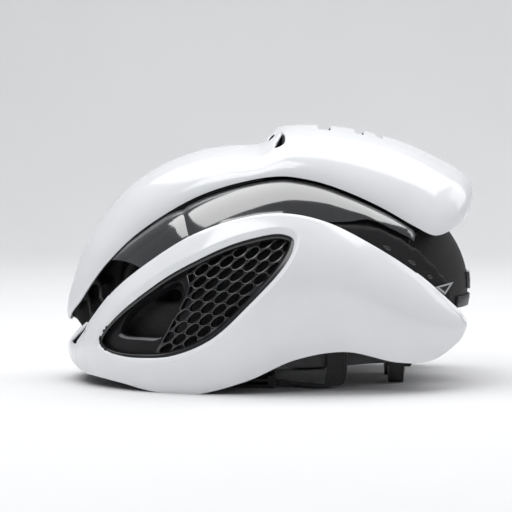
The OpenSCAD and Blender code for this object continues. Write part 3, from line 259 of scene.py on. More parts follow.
BAND_TOP = arr([-111.5, 28, 86], [-98, 32.5, 98.5], [-78, 37.5, 113.5], [-54, 43, 127.5], [-32, 47.5, 136],
               [-11, 51, 141.3], [4, 53.5, 143.4], [16, 55.5, 143], [34, 57.5, 139.3], [52, 59, 133],
               [66, 59.2, 127], [82, 58.8, 119], [100, 57.3, 107.8])
BAND_LOW = arr([-89, 59, 82.8], [-83, 60.3, 86], [-68, 66, 96.5], [-50, 71.5, 105.5], [-30, 75.5, 113],
               [-10, 77.5, 118], [6, 78.3, 119.5], [18, 78.3, 118.5], [34, 77.8, 115.5], [52, 75.5, 115],
               [66, 72, 115.6], [82, 68.8, 108.7], [97, 65, 101.2])
BAND_SWELL = arr(7, 5, 4, 4, 4, 4, 4, 4, 4, 4, 4, 4, 4)
SHELL_T, BAND_T, GRILLE_DEPTH = 1.6, 1.2, 7.0
EGG_C, EGG_FRONT, EGG_REAR = arr(10, 0, 66), arr(116, 84, 88), arr(130, 84, 88)
HEAD_C, HEAD_R = arr(-3, 0, 42), arr(100, 77, 95)
LEFT = arr(1, -1, 1)
RAY_START, SIDE_Y, TO_RIGHT = -300, -85, Vector((0, 1, 0))


def catmull(a, b, c, d, u):
    """Curve from b to c, by Catmull and Rom's formula."""
    square, cube = 2 * a - 5 * b + 4 * c - d, 3 * b - a - 3 * c + d
    return 0.5 * (2 * b + (c - a) * u + square * u * u + cube * u ** 3)


def spline(p, t):
    """Open curve through the points p."""
    n = len(p) - 1
    f = np.clip(t, 0, 0.999999) * n
    i = f.astype(int)
    u = f - i
    if p.ndim > 1:
        u = u[:, None]
    return catmull(p[np.maximum(i - 1, 0)], p[i], p[i + 1], p[np.minimum(i + 2, n)], u)


def loop_spline(p, t):
    """Closed curve through the points p."""
    n = len(p)
    f = (t % 1) * n
    i = f.astype(int) % n
    return catmull(p[i - 1], p[i], p[(i + 1) % n], p[(i + 2) % n], (f - np.floor(f))[:, None])


def unit(v):
    return v / np.maximum(np.linalg.norm(v, axis=-1, keepdims=True), 1e-9)


def crown(u, v):
    """Crown shell: sections from one edge over the crest to the other."""
    c, e = spline(CREST, u), spline(EDGE, u)
    e[v < 0.5, 1] *= -1
    t = (1 - np.abs(2 * v - 1))[:, None]
    k = np.stack([(e[:, 0] + c[:, 0]) / 2, e[:, 1], c[:, 2]], 1)
    p, q, w = e + (k - e) * 0.52, c + (k - c) * 0.52, 1 - t
    return w ** 3 * e + 3 * w * w * t * p + 3 * w * t * t * q + t ** 3 * c


def wing(u, v):
    """Left side shell, from its low edge to its top edge."""
    (a, b), (a2, b2), (a1, b1) = ((spline(WING_LOW, s) * LEFT, spline(WING_TOP, s) * LEFT)
                                  for s in (u, u + 0.01, u - 0.01))
    out = unit(np.cross(a2 + b2 - a1 - b1, b - a))
    k = a + (b - a) * 0.55 + spline(WING_SWELL, u)[:, None] * out
    v = v[:, None]
    p = (1 - v) ** 2 * a + 2 * v * (1 - v) * k + v * v * b
    p[:, 2] = np.maximum(p[:, 2], 0)
    return p


def band(u, v):
    """Left gloss band, between the side shell and the crown shell."""
    a, b = spline(BAND_LOW, u) * LEFT, spline(BAND_TOP, u) * LEFT
    out = unit(np.cross(arr(1, 0, 0), b - a))
    v = v[:, None]
    return a + (b - a) * v + v * (1 - v) * spline(BAND_SWELL, u)[:, None] * out


def normal_of(f, u, v):
    """Unit normal of f, from the differences over a small step."""
    e = 0.004
    du = f(np.clip(u + e, 0, 1), v) - f(np.clip(u - e, 0, 1), v)
    dv = f(u, np.clip(v + e, 0, 1)) - f(u, np.clip(v - e, 0, 1))
    return unit(np.cross(du, dv))


def inverse(f, target, axes):
    """(u, v) at which f has the target's two coordinates: the nearest of a grid, then Newton's steps."""
    gu, gv = np.meshgrid(np.linspace(0, 1, 160), np.linspace(0, 1, 80), indexing="ij")
    gu, gv = gu.ravel(), gv.ravel()
    grid = f(gu, gv)[:, axes]
    best = np.array([np.argmin(((grid - t) ** 2).sum(1)) for t in target])
    u, v = gu[best].copy(), gv[best].copy()
    for _ in range(8):
        e = 1e-3
        p = f(u, v)[:, axes]
        ju = (f(u + e, v)[:, axes] - p) / e
        jv = (f(u, v + e)[:, axes] - p) / e
        r = target - p
        det = ju[:, 0] * jv[:, 1] - ju[:, 1] * jv[:, 0]
        det = np.where(np.abs(det) < 1e-6, 1e-6, det)
        u = np.clip(u + 0.8 * (r[:, 0] * jv[:, 1] - r[:, 1] * jv[:, 0]) / det, 0, 0.9985)
        v = np.clip(v + 0.8 * (ju[:, 0] * r[:, 1] - ju[:, 1] * r[:, 0]) / det, 0, 0.9985)
    return u, v


# Mesh tools
def smoothed(me, smooth=True):
    for face in me.polygons:
        face.use_smooth = smooth


def make(name, verts, faces, mat, mirror=False, uv=None, smooth=True):
    """A mesh object from points in millimetres."""
    verts = np.asarray(verts, float)
    if mirror:
        verts = verts * LEFT
        faces = [tuple(reversed(f)) for f in faces]
    me = bpy.data.meshes.new(name)
    me.from_pydata((verts * MM).tolist(), [], [tuple(int(i) for i in f) for f in faces])
    if uv is not None:
        layer = me.uv_layers.new(name="UVMap")
        uv = np.asarray(uv, float)
        for lo in me.loops:
            layer.data[lo.index].uv = uv[lo.vertex_index]
    me.update()
    smoothed(me, smooth)
    o = bpy.data.objects.new(name, me)
    scene.collection.objects.link(o)
    me.materials.append(mat)
    return o


def modifier(o, kind, **props):
    m = o.modifiers.new(kind.lower(), kind)
    for k, v in props.items():
        setattr(m, k, v)
    return m


def rounded_edges(o, width, segments, angle, **props):
    modifier(o, "BEVEL", width=width * MM, segments=segments, limit_method="ANGLE",
             angle_limit=math.radians(angle), harden_normals=True, **props)


def place(o, stands_for=()):
    """Hangs a piece on the helmet and hides the CAD nodes that it stands for."""
    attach(o, "helmet")
    if stands_for:
        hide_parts(*([stands_for] if isinstance(stands_for, str) else stands_for))


def skin(name, pts, faces, mat, t, rim, slot, stands_for, mirrored=False):
    """A piece with its thickness inwards and rounded edges, in its place."""
    o = make(name, pts, faces, mat, mirrored)
    modifier(o, "SOLIDIFY", thickness=t * MM, offset=-1, use_even_offset=False)
    if rim:
        rounded_edges(o, rim, 3, 40)
    place(o, stands_for)


def repaint(o, mat, chosen):
    """Gives a second material to the faces that chosen(index) picks."""
    o.data.materials.append(mat)
    for face in o.data.polygons:
        face.material_index = int(chosen(face.index))


def grid_faces(m, n):
    k = n + 1
    return [(a, a + k, a + k + 1, a + 1) for i in range(m) for a in range(i * k, i * k + n)]


def tube_faces(rings, k, base=0, flip=False):
    """Faces between rings of k points each."""
    faces = []
    for r in range(rings - 1):
        for q in range(k):
            a, b = base + r * k + q, base + r * k + (q + 1) % k
            faces.append((a, a + k, b + k, b) if flip else (a, b, b + k, a + k))
    return faces


def end_faces(rings, k):
    return [tuple(reversed(range(k))), tuple(range((rings - 1) * k, rings * k))]


def shares(n):
    return np.linspace(0, 1, n + 1)


def sheet_points(f, us, vs):
    u, v = np.meshgrid(us, vs, indexing="ij")
    return f(u.ravel(), v.ravel())


def area(loop):
    """Signed area of a closed outline in the plane."""
    x, y = loop.T
    return 0.5 * np.sum(x * np.roll(y, -1) - np.roll(x, -1) * y)


def steps(loop):
    """Length of each side of a closed outline."""
    return np.linalg.norm(np.roll(loop, -1, 0) - loop, axis=1)


def matched(f, outline, pts):
    """Points of an outline in uv, as many as pts and turned so that on f they lie nearest to them."""
    far = steps(pts)
    s = np.concatenate([[0], np.cumsum(far)[:-1]]) / far.sum()
    if area(outline) < 0:
        outline = outline[::-1]
    far = steps(f(outline[:, 0], outline[:, 1]))
    t = np.concatenate([[0], np.cumsum(far)]) / far.sum()
    closed = np.vstack([outline, outline[:1]])

    def at(q):
        q = q % 1
        return np.stack([np.interp(q, t, closed[:, 0]), np.interp(q, t, closed[:, 1])], 1)

    best = min(np.arange(0, 1, 1 / 240), key=lambda turn: ((f(*at(s + turn).T) - pts) ** 2).sum())
    return at(s + best)


def holed(f, m, n, holes):
    """Points and faces of f over a grid of m x n cells, with holes. A hole is (i0, i1, j0, j1, outline
    in uv, rings, profile): the outline takes the place of the cells' rectangle, and the profile's rows
    (inwards, down) in millimetres roll its rim over. An eighth value, True, widens the rim along
    the hole's upper side."""
    verts = [sheet_points(f, shares(m), shares(n))]
    count = (m + 1) * (n + 1)
    gone = {(i, j) for h in holes for i in range(h[0], h[1]) for j in range(h[2], h[3])}
    faces = [face for c, face in enumerate(grid_faces(m, n)) if divmod(c, n) not in gone]
    for i0, i1, j0, j1, outline, rings, profile, *wider in holes:
        loop = ([(i, j0) for i in range(i0, i1)] + [(i1, j) for j in range(j0, j1)]
                + [(i, j1) for i in range(i1, i0, -1)] + [(i0, j) for j in range(j1, j0, -1)])
        uv = np.array([(i / m, j / n) for i, j in loop])
        hole = matched(f, outline, f(uv[:, 0], uv[:, 1]))
        rows = [f(*(uv + (hole - uv) * (1 - (1 - r / rings) ** 1.3)).T) for r in range(1, rings + 1)]
        rim = rows[-1]
        nrm = normal_of(f, *np.clip(hole, 0.001, 0.999).T)
        inward = unit(np.cross(nrm, unit(np.roll(rim, -1, 0) - np.roll(rim, 1, 0))))
        up = np.clip(-inward[:, 2:], 0, 1) if wider else 0 * nrm[:, :1]
        rows += [rim + a * (1 + 0.45 * up) * inward - b * (1 + 0.3 * up) * nrm for a, b in profile]
        ids = [i * (n + 1) + j for i, j in loop]
        k = len(ids)
        for row in rows:
            verts.append(row)
            faces += [(ids[q], ids[(q + 1) % k], count + (q + 1) % k, count + q) for q in range(k)]
            ids = range(count, count + k)
            count += k
    return np.vstack(verts), faces


def cells_round(m, n, outline):
    """Index rectangle of the grid cells that an outline in uv touches, with a margin of one cell."""
    (u0, v0), (u1, v1) = outline.min(0), outline.max(0)
    return (max(math.floor(u0 * m) - 1, 0), min(math.ceil(u1 * m) + 1, m),
            max(math.floor(v0 * n) - 1, 0), min(math.ceil(v1 * n) + 1, n))


def grow(loop, d):
    """A closed outline in the plane moved outwards by d."""
    t = unit(np.roll(loop, -1, 0) - np.roll(loop, 1, 0))
    return loop + d * np.stack([t[:, 1], -t[:, 0]], 1) * np.sign(area(loop))


def both(build):
    build("left", False)
    build("right", True)


LOOP_POINTS = 120
vent_loop, intake_loop = (loop_spline(p, np.arange(LOOP_POINTS) / LOOP_POINTS) for p in (VENT, INTAKE))


# Crown shell with intake and louvers
CM, CN = 132, 60
OUTLINE_POINTS = 96
RIBS = 5
INTAKE_X = 4.0
RIB_HALF = 1.2
# Front and rear edge of the cells and start of the ribs' rise at the middle plane, and how far they move
# along X with the square of the distance from it
CELL_FRONT, CELL_REAR, RISE_START = -2.6, 3.6, -2.2
FRONT_SWEEP, REAR_SWEEP = 0.0016, -0.0025
NEAR_CELL = arr([1.4, 164.8], [4.6, 171.2], [7.4, 174.8], [9.9, 173.6], [10.0, 168.6], [7.0, 165.8],
                [3.2, 164.3])
# Start, length and half width of each louver
LOUVERS = [(32.6, 10.0, 23.0), (58.6, 7.5, 20.0), (73.4, 6.0, 17.0)]
# Place, height and width of the ribs' rise on one side, to scale
RIB_RISE = [(21.6, 0.1, 2.2), (11, 0.6, 1.8), (0, 0.6, 1.8)]
CELL_RIM = [(0.3, 0.1), (0.6, 0.45), (0.7, 1.1), (0.7, 1.6)]
LOUVER_RIM = [(0.3, 0.12), (0.5, 0.5), (0.5, 1.7)]
rib_y = arr(-42, -22.6, -11, 0, 11, 22.6, 42)
_, rib_v = inverse(crown, np.stack([np.full(RIBS + 2, INTAKE_X), rib_y], 1), [0, 1])
rib_v = np.concatenate([[0], rib_v, [1]])
rib_w = np.round(rib_v * CN) / CN


def crown_grid(u, w):
    """The crown with its grid's columns pulled onto the intake's ribs, which stand proud of it."""
    p = crown(u, np.interp(w, rib_w, rib_v))
    y = np.abs(p[:, 1])
    rise = sum(height * np.exp(-((y - at) / width) ** 2) for at, height, width in RIB_RISE)
    start = RISE_START + FRONT_SWEEP * y * y
    window = np.clip((p[:, 0] - start) / 3, 0, 1) * np.clip((start + 9.5 - p[:, 0]) / 4, 0, 1)
    p[:, 0] -= 0.6 * rise * window
    p[:, 2] += 0.8 * rise * window
    return p


def superellipse(cx, cy, hx, hy, power):
    """Outline between an ellipse and a rectangle."""
    t = np.linspace(0, 2 * np.pi, OUTLINE_POINTS, endpoint=False)
    x, y = (np.sign(w) * np.abs(w) ** (2 / power) for w in (np.cos(t), np.sin(t)))
    return np.stack([cx + hx * x, cy + hy * y], 1)


def cell_shape(mid, half):
    """Opening between two ribs."""
    q = superellipse(0.5, mid, 0.5, half, 2.8)
    y2 = q[:, 1] ** 2
    front, rear = CELL_FRONT + FRONT_SWEEP * y2, CELL_REAR + REAR_SWEEP * y2
    return np.stack([front + (rear - front) * q[:, 0], q[:, 1]], 1)


def near_shape(sign):
    """Outermost opening, drawn as the side view shows it."""
    xz = loop_spline(NEAR_CELL, np.linspace(0, 1, OUTLINE_POINTS, endpoint=False))
    u, v = inverse(lambda a, b: crown(a, 0.5 * b), xz, [0, 2])
    p = crown(u, 0.5 * v)
    q = np.stack([p[:, 0], sign * np.abs(p[:, 1])], 1)
    return q if sign > 0 else q[::-1]


def crown_hole(shape, profile, rings, columns=None):
    outline = np.stack(inverse(crown_grid, shape, [0, 1]), 1)
    i0, i1, j0, j1 = cells_round(CM, CN, outline)
    return (i0, i1, *(columns or (j0, j1)), outline, rings, profile)


def intake_cell(i):
    """Opening i of the intake, between ribs i and i + 1. The outermost two reach one column further."""
    mid, half = (rib_y[i] + rib_y[i + 1]) / 2, (rib_y[i + 1] - rib_y[i]) / 2 - RIB_HALF
    first, last = int(round(rib_w[i + 1] * CN)), int(round(rib_w[i + 2] * CN))
    outermost = i in (0, RIBS)
    shape = near_shape(np.sign(mid)) if outermost else cell_shape(mid, half)
    return crown_hole(shape, CELL_RIM, 4, (first - (i == 0), last + (i == RIBS)))


cells = [intake_cell(i) for i in range(RIBS + 1)]
i0, i1 = min(h[0] for h in cells), max(h[1] for h in cells)
cells = [(i0, i1, *h[2:]) for h in cells]
louvers = [crown_hole(superellipse(x + length / 2, 0, length / 2, half, 6), LOUVER_RIM, 3)
           for x, length, half in LOUVERS]
skin("crown_shell_skin", *holed(crown_grid, CM, CN, cells + louvers), WHITE, SHELL_T, 0.45, "white_shell",
     ("crown_shell", "scoop_ribs"))


# Duct behind an opening: how far it stands in from the opening's edge, its depth, and its lean along X
DUCT_GAP, DUCT_DEPTH, DUCT_LEAN, OUTER_LEAN = 0.78, 9, 5, -2.6


def cell_duct(number, outline):
    """Dark duct behind an opening of the intake. The outermost lean forwards, with a rear wall in mid-grey: a
    white wall with painted shade in its colour.
    """
    p, out = crown_grid(*outline.T), normal_of(crown_grid, *outline.T)
    out = unit((out * np.where(out[:, 2:] < 0, -1, 1)).mean(0))
    mid = p.mean(0)
    rim = p - DUCT_GAP * unit(p - mid)
    outermost = number in (1, RIBS + 1)
    lean = arr(OUTER_LEAN if outermost else DUCT_LEAN, 0, 0)
    rows = [rim - out * 0.4, rim - out * 4 + lean * 0.3,
            mid + (rim - mid) * 0.8 - out * DUCT_DEPTH + lean,
            mid + (rim - mid) * 0.02 - out * (DUCT_DEPTH + 0.5) + lean]
    k = len(p)
    o = make("intake_duct_%d" % number, np.vstack(rows), tube_faces(len(rows), k), PANEL)
    # The outermost ducts' rear walls get the mid-grey: a white wall with painted shade
    repaint(o, SHADED_WALL_GREY, lambda i: outermost and i < 2 * k and rim[i % k, 0] > mid[0] + 1.2)
    place(o)


for number, cell in enumerate(cells, 1):
    cell_duct(number, cell[4])


# Side shells
WM, WN = 110, 40
LIP_WIDTH, LIP_RADIUS = 5, 1.6
VENT_RIM = [(0.35, 0.06), (0.8, 0.3), (1.6, 0.95), (2.5, 1.8), (3.1, 2.5), (3.35, 3.1), (3.35, 3.9)]
vent_out = grow(vent_loop, 1.0) - vent_loop
# The rim is wider along the vent's upper side
upper = 2.4 * np.clip(vent_out[:, 1:], 0, 1)
rim_loop = grow(vent_loop, 3.7) + vent_out * upper


def side_skin(side, mirrored):
    """Side shell with the vent's opening, and a lip along its top edge."""
    outline = np.stack(inverse(wing, rim_loop, [0, 2]), 1)
    hole = (*cells_round(WM, WN, outline), outline, 6, VENT_RIM, True)
    pts, faces = holed(wing, WM, WN, [hole])
    # The top edge rolls over into a lip, which gets narrow at the rear end
    k = WN + 1
    top, under = (pts[j:(WM + 1) * k:k].copy() for j in (WN, WN - 1))
    lip = np.minimum(LIP_WIDTH, 40 * (1 - np.arange(WM + 1) / WM) + 1)
    r = np.minimum(LIP_RADIUS, lip * 0.35)
    start = top - unit(top - under) * r[:, None]
    end = top + np.stack([0 * lip, r, -0.06 * r], 1)
    rows = [(1 - q) ** 2 * start + 2 * q * (1 - q) * top + q * q * end for q in (0.25, 0.5, 0.75, 1.0)]
    rows.append(top + np.stack([0 * lip, lip, -0.2 + 0 * lip], 1))
    pts[WN:(WM + 1) * k:k] = start
    ids = range(WN, (WM + 1) * k, k)
    for row in rows:
        base = len(pts)
        pts = np.vstack([pts, row])
        faces += [(ids[a], ids[a + 1], base + a + 1, base + a) for a in range(WM)]
        ids = range(base, base + WM + 1)
    shell = side + "_side_shell"
    skin(shell + "_skin", pts, faces, WHITE, SHELL_T, 0.4, "white_shell", shell, mirrored)


both(side_skin)


# Brow shell and rim
def brow_shell():
    """Strip under the slit vent, from one side shell round the front to the other."""
    t = np.linspace(1, -1, 49)
    pts = []
    for low, edge, s in zip(spline(BROW_LOW, np.abs(t)), spline(BROW_EDGE, np.abs(t)), np.sign(t)):
        for v in shares(8):
            x, y, z = low + (edge - low) * v
            pts.append((x - 4 * v * (1 - v) * BROW_SWELL, s * y, z))
    skin("brow_shell_skin", pts, grid_faces(48, 8), WHITE, SHELL_T, 0.45, "white_shell", "brow_shell")


brow_shell()
BROW_RIM = [(0.1, -2.3), (0.45, -2.0), (0.6, -1.2), (0.45, -0.4), (0.1, 0.05), (-0.5, 0.1), (-2.2, -0.1),
            (-2.5, -0.9), (-2.2, -1.8), (-1.2, -2.4)]


def brow_rim():
    """Thin rim over the slit, back to the side shells' top edges, and the dark wall behind the slots."""
    n = 81
    t = np.linspace(1, -1, n)
    a = spline(RIM_TOP, np.abs(t))
    d = unit(spline(RIM_TOP, np.abs(t) + 0.01) - spline(RIM_TOP, np.abs(t) - 0.01))
    out = unit(np.stack([-d[:, 1], d[:, 0], 0 * t], 1))
    out *= np.where(out[:, 0] > 0, -1, 1)[:, None]
    up = unit(np.cross(out, d))
    up *= np.where(up[:, 2] < 0, -1, 1)[:, None]
    pts, wall = [], []
    for i in range(n):
        side = LEFT if t[i] < 0 else arr(1, 1, 1)
        scale = 1 - 0.35 * max(0, (abs(t[i]) - 0.8) / 0.2)
        pts += [(a[i] + out[i] * x * scale + up[i] * z * scale) * side for x, z in BROW_RIM]
        top = a[i] - out[i] * 2.4 - up[i] * 0.9
        low = top * arr(1, 1, 0) - out[i] * 0.4 + arr(0, 0, 13 + 0.3 * top[2])
        wall += [top * side, (top + low) / 2 * side, low * side]
    k = len(BROW_RIM)
    rim = make("brow_rim_skin", pts, tube_faces(n, k) + end_faces(n, k), WHITE)
    place(rim, "brow_rim")
    place(make("brow_slot_wall", wall, grid_faces(n - 1, 2), FOAM))


brow_rim()


# Gloss bands
# Joint at the end of the front piece: its place, lean, width and depth, and how the front piece dips to it
JOINT_X, JOINT_LEAN, JOINT_WIDTH, JOINT_DEPTH = -58.0, 6, 1.2, 0.45
FRONT_RISE, FRONT_DIP, DIP_LENGTH = 0.9, 1.4, 13
# The fuller section: its swell, what it loses at the rear, and the rise of its low edge there
FULL_SWELL, REAR_LOSS, REAR_RISE = 1.9, 1.2, 2.2
REAR_X, REAR_LENGTH = 38, 30


def crowned_band(u, v):
    """The band with a fuller section, and a joint where its front piece ends."""
    p = band(u, v)
    out = normal_of(band, np.clip(u, 0.01, 0.99), np.clip(v, 0.02, 0.98))
    out *= np.where(out[:, 1] > 0, -1, 1)[:, None]
    fade = np.clip(np.minimum(12 * u, 40 * (1 - u)), 0, 1)
    gap = p[:, 0] - JOINT_X + JOINT_LEAN * (v - 0.5)
    rear = np.clip((p[:, 0] - REAR_X) / REAR_LENGTH, 0, 1)
    rise = (4 * v * (1 - v) * (FULL_SWELL - REAR_LOSS * rear) + REAR_RISE * rear * (1 - v)) * fade
    front = FRONT_RISE - FRONT_DIP * np.clip((gap + DIP_LENGTH) / DIP_LENGTH, 0, 1) ** 2
    step = np.clip(gap / JOINT_WIDTH + 0.5, 0, 1)
    rise = rise + fade * (front * (1 - step) - JOINT_DEPTH * step * np.exp(-np.maximum(gap, 0) / 1.6))
    return p + rise[:, None] * out


def gloss_band(side, mirrored):
    """Gloss band as a skin, with closer rows where the joint is."""
    us = np.sort(np.concatenate([shares(90), np.linspace(0.2, 0.32, 50)]))
    pts, faces = sheet_points(crowned_band, us, shares(18)), grid_faces(len(us) - 1, 18)
    name = side + "_gloss_band"
    skin(name + "_skin", pts, faces, BLACK, BAND_T, 0.35, "gloss_black", name, mirrored)


both(gloss_band)


# Side vents
def bvh_of(depth, m=120, n=44):
    """The side shell's form moved inwards by depth, to cast rays at."""
    p = sheet_points(lambda u, v: wing(u, v) - depth * normal_of(wing, u, v), shares(m), shares(n))
    return BVHTree.FromPolygons(p.tolist(), grid_faces(m, n))


def hit_at(tree, x, z):
    """Where a ray from the left at (x, z) hits, or else the nearest place, with the normal there."""
    hit, nrm, _, _ = tree.ray_cast(Vector((x, RAY_START, z)), TO_RIGHT)
    if hit is None:
        hit, nrm, _, _ = tree.find_nearest(Vector((x, SIDE_Y, z)))
    return hit, nrm


face_of_grille = bvh_of(GRILLE_DEPTH)


def on_grille(xz, down):
    """Points on the grille's face at (x, z), moved inwards by down."""
    out = []
    for (x, z), d in zip(xz, down):
        hit, nrm = hit_at(face_of_grille, x, z)
        out.append(tuple(hit + nrm * d if nrm.y > 0 else hit - nrm * d))
    return np.array(out)


def levels(rows, k):
    """Points and depths of rings of k points, one ring to a depth."""
    return [p for ring, _ in rows for p in ring], [d for _, d in rows for _ in range(k)]


# Steps between the honeycomb's cells, the points round one cell, and the angle of its long axis
A, B = arr(7.9, -1.1), arr(1.2, 8.0)
HEX = np.array([2 * A + B, A + 2 * B, B - A, -2 * A - B, -A - 2 * B, A - B]) / 3
CELL_POINTS, LONG_AXIS = 28, math.radians(40)
CELL_ORIGIN = arr(0, 20)
# A cell whose opening is smaller than this, in square millimetres, is closed
SMALLEST = 5
PANEL_EDGE = arr([20, -82], [28, -78], [37.7, -72.4], [66, -57.6], [73, -55.5], [80, -57], [110, -64])


def inside(loop, p):
    """Whether a point in the plane lies inside a closed outline."""
    x, y = loop[:, 0], loop[:, 1]
    x2, y2 = np.roll(x, -1), np.roll(y, -1)
    c = ((y > p[1]) != (y2 > p[1])) & (p[0] < (x2 - x) * (p[1] - y) / np.where(y2 == y, 1e-9, y2 - y) + x)
    return bool(c.sum() % 2)


def cell_loops():
    """Boundary of a cell and its rounded opening, which is narrower across than along, both by angle."""
    ang = np.linspace(0, 2 * np.pi, CELL_POINTS, endpoint=False)
    f = np.arange(600) / 100
    i = f.astype(int)
    u = (f - i)[:, None]
    p0, p1, p2 = HEX[i], HEX[(i + 1) % 6], HEX[(i + 2) % 6]
    soft = 0.5 * ((1 - u) ** 2 * p0 + (1 + 2 * u - 2 * u * u) * p1 + u * u * p2)

    def reach(loop):
        a, r = np.arctan2(loop[:, 1], loop[:, 0]), np.linalg.norm(loop, axis=1)
        order = np.argsort(a)
        a, r = a[order], r[order]
        around = np.concatenate([a[-1:] - 2 * np.pi, a, a[:1] + 2 * np.pi])
        return np.interp((ang + np.pi) % (2 * np.pi) - np.pi, around, np.concatenate([r[-1:], r, r[:1]]))

    d = np.stack([np.cos(ang), np.sin(ang)], 1)
    across = np.abs(np.sin(ang - LONG_AXIS))
    return d * reach(dense_loop(HEX, 100))[:, None], d * (reach(soft) - 0.35 - 0.75 * across)[:, None]


def panel_edge(z):
    """Line between the intake panel and the cells, x at each height."""
    return np.interp(z, *PANEL_EDGE.T)


def dense_loop(loop, n=8):
    """A closed outline with n points to each side."""
    far = np.roll(loop, -1, 0) - loop
    return np.vstack([p + d * s for p, d in zip(loop, far) for s in np.linspace(0, 1, n, endpoint=False)])


def held_in(p, border, gap):
    """Points moved to the nearest place inside a border and behind the panel's edge."""
    out = np.array([q if inside(border, q) else border[np.argmin(((border - q) ** 2).sum(1))] for q in p])
    return np.stack([np.maximum(out[:, 0], panel_edge(out[:, 1]) + gap), out[:, 1]], 1)


cell_border = dense_loop(grow(vent_loop, -2.0))
open_border = dense_loop(grow(vent_loop, -2.9))


def cell_rows(e, h):
    """Rings and depths of one cell with edge e and opening h."""
    if abs(area(h)) < SMALLEST:
        mid = e.mean(0)
        return [(e, 0.0), (mid + (e - mid) * 0.3, 0.1), (mid + (e - mid) * 0.02, 0.1)]
    slope = [(e + (h - e) * share, d) for share, d in ((0.0, 0.0), (0.55, 0.05), (0.8, 0.2), (0.94, 0.6))]
    return slope + [(h, 1.2), (h + (h - h.mean(0)) * 0.02, 5.5)]


def honeycomb(side, mirrored):
    """Grille of the cells that reach into the vent behind the intake's panel."""
    edge, hole = cell_loops()
    xz, down, faces = [], [], []
    for i in range(-10, 7):
        for j in range(-1, 14):
            c = i * A + CELL_ORIGIN + j * B
            e = c + edge
            if not any(inside(cell_border, p) for p in e) or c[0] < panel_edge(c[1]) - 3.5:
                continue
            rows = cell_rows(held_in(e, cell_border, 0.0), held_in(c + hole, open_border, 0.9))
            faces += tube_faces(len(rows), CELL_POINTS, len(xz), True)
            points, depths = levels(rows, CELL_POINTS)
            xz += points
            down += depths
    o = make(side + "_honeycomb", on_grille(xz, down), faces, GRILLE, mirrored)
    place(o, side + "_side_grille")


both(honeycomb)
# Outwards from the vent's outline and down, for each ring of the frame
FRAME = [(1.6, 2.9), (0.9, 3.3), (0.3, 3.5), (-0.9, 3.7), (-1.4, 4.0), (-1.6, 4.7), (-1.7, 6.2),
         (-2.1, 6.7), (-2.3, 7.4), (-2.3, 12.0)]
FRAME_T = 0.8


def vent_frame(side, mirrored):
    """Frame of the vent: a lip behind the shell's rim and a wall down past the grille."""
    pts = []
    for g, d in FRAME:
        tree = bvh_of(d, 90, 30)
        for x, z in grow(vent_loop, g) + vent_out * upper * 0.55 * np.clip((g + 1.6) / 2.5, 0, 1):
            # The lip lies deeper at the vent's front tip, where the shell turns away
            tip = min(1, max(0, (-98 - x) / 10)) * (g > 0)
            pts.append(tuple(hit_at(tree, x, z)[0] + Vector((0.5, 1.0, 0)) * 1.3 * tip))
    faces = tube_faces(len(FRAME), LOOP_POINTS)
    name = side + "_vent_frame"
    skin(name + "_rim", pts, faces, EDGE_BLACK, FRAME_T, 0, "vent_black", name, mirrored)


both(vent_frame)
# Share of the way from the panel's edge to the intake, and down, for each ring of the panel
PANEL_ROWS = [(0.0, 0.1), (0.3, 0.25), (0.7, 0.3), (0.86, 0.25), (0.93, 0.1), (0.97, 0.25), (1.0, 0.8),
              (1.015, 1.7), (1.02, 7.0)]
# Rows of the intake's rim that take the painted highlight along its floor
PAINTED_LIGHT_ROWS = range(3, 7)


def intake_panel(side, mirrored):
    """Panel round the open intake, with a rim that rolls into the opening and a painted highlight along its
    floor.
    """
    outer = grow(vent_loop, -1.8)
    outer[:, 0] = np.minimum(outer[:, 0], panel_edge(outer[:, 1]) + 0.3)
    # The outer edge is matched to the intake by angle about the intake's middle
    c = intake_loop.mean(0)
    dense = dense_loop(outer)
    inner_angle, outer_angle = (np.arctan2(*(loop - c).T[::-1]) for loop in (intake_loop, dense))
    turns = (np.abs(np.angle(np.exp(1j * (outer_angle - a)))) for a in inner_angle)
    match = np.array([dense[np.argmin(turn)] for turn in turns])
    rows = [(match + (intake_loop - match) * share, d) for share, d in PANEL_ROWS]
    faces = tube_faces(len(rows), LOOP_POINTS, flip=True)
    o = make(side + "_intake_panel", on_grille(*levels(rows, LOOP_POINTS)), faces, PANEL, mirrored)
    # The rim's floor gets a painted highlight: a paler black on its lowest points in these rows
    low = intake_loop[:, 1] < intake_loop[:, 1].min() + 1.6
    repaint(o, PAINTED_LIGHT_LIP, lambda i: i // LOOP_POINTS in PAINTED_LIGHT_ROWS and low[i % LOOP_POINTS])
    place(o)


both(intake_panel)


# Foam liner
def evaluated(o):
    """The mesh of an object with its modifiers, as a new mesh."""
    bpy.context.view_layer.update()
    return bpy.data.meshes.new_from_object(o.evaluated_get(bpy.context.evaluated_depsgraph_get()))


def points_of(me):
    co = np.empty(len(me.vertices) * 3)
    me.vertices.foreach_get("co", co)
    return co.reshape(-1, 3)


def set_points(me, co):
    me.vertices.foreach_set("co", co.ravel())
    me.update()


def baked(o):
    """The object with its modifiers made final."""
    me = evaluated(o)
    o.modifiers.clear()
    o.data = me
    return o


def remeshed(name, source, shrink, voxel, mat):
    """A CAD node's form, welded, shrunk and remeshed evenly, as a new object."""
    me = nodes[source].data.copy()
    bm = bmesh.new()
    bm.from_mesh(me)
    bmesh.ops.remove_doubles(bm, verts=bm.verts, dist=1e-5)
    if shrink:
        bm.normal_update()
        for v, move in [(v, v.normal * shrink * MM) for v in bm.verts]:
            v.co -= move
    bm.to_mesh(me)
    bm.free()
    o = bpy.data.objects.new(name, me)
    scene.collection.objects.link(o)
    modifier(o, "REMESH", mode="VOXEL", voxel_size=voxel * MM)
    me = baked(o).data
    me.materials.clear()
    me.materials.append(mat)
    me.polygons.foreach_set("material_index", [0] * len(me.polygons))
    smoothed(me)
    return o


FOAM_VOXEL = 2.3
# Points of the foam this near to a smooth form are pulled onto it, less and less over the last part
PULL_REACH, PULL_FALL = 1.6, 0.8


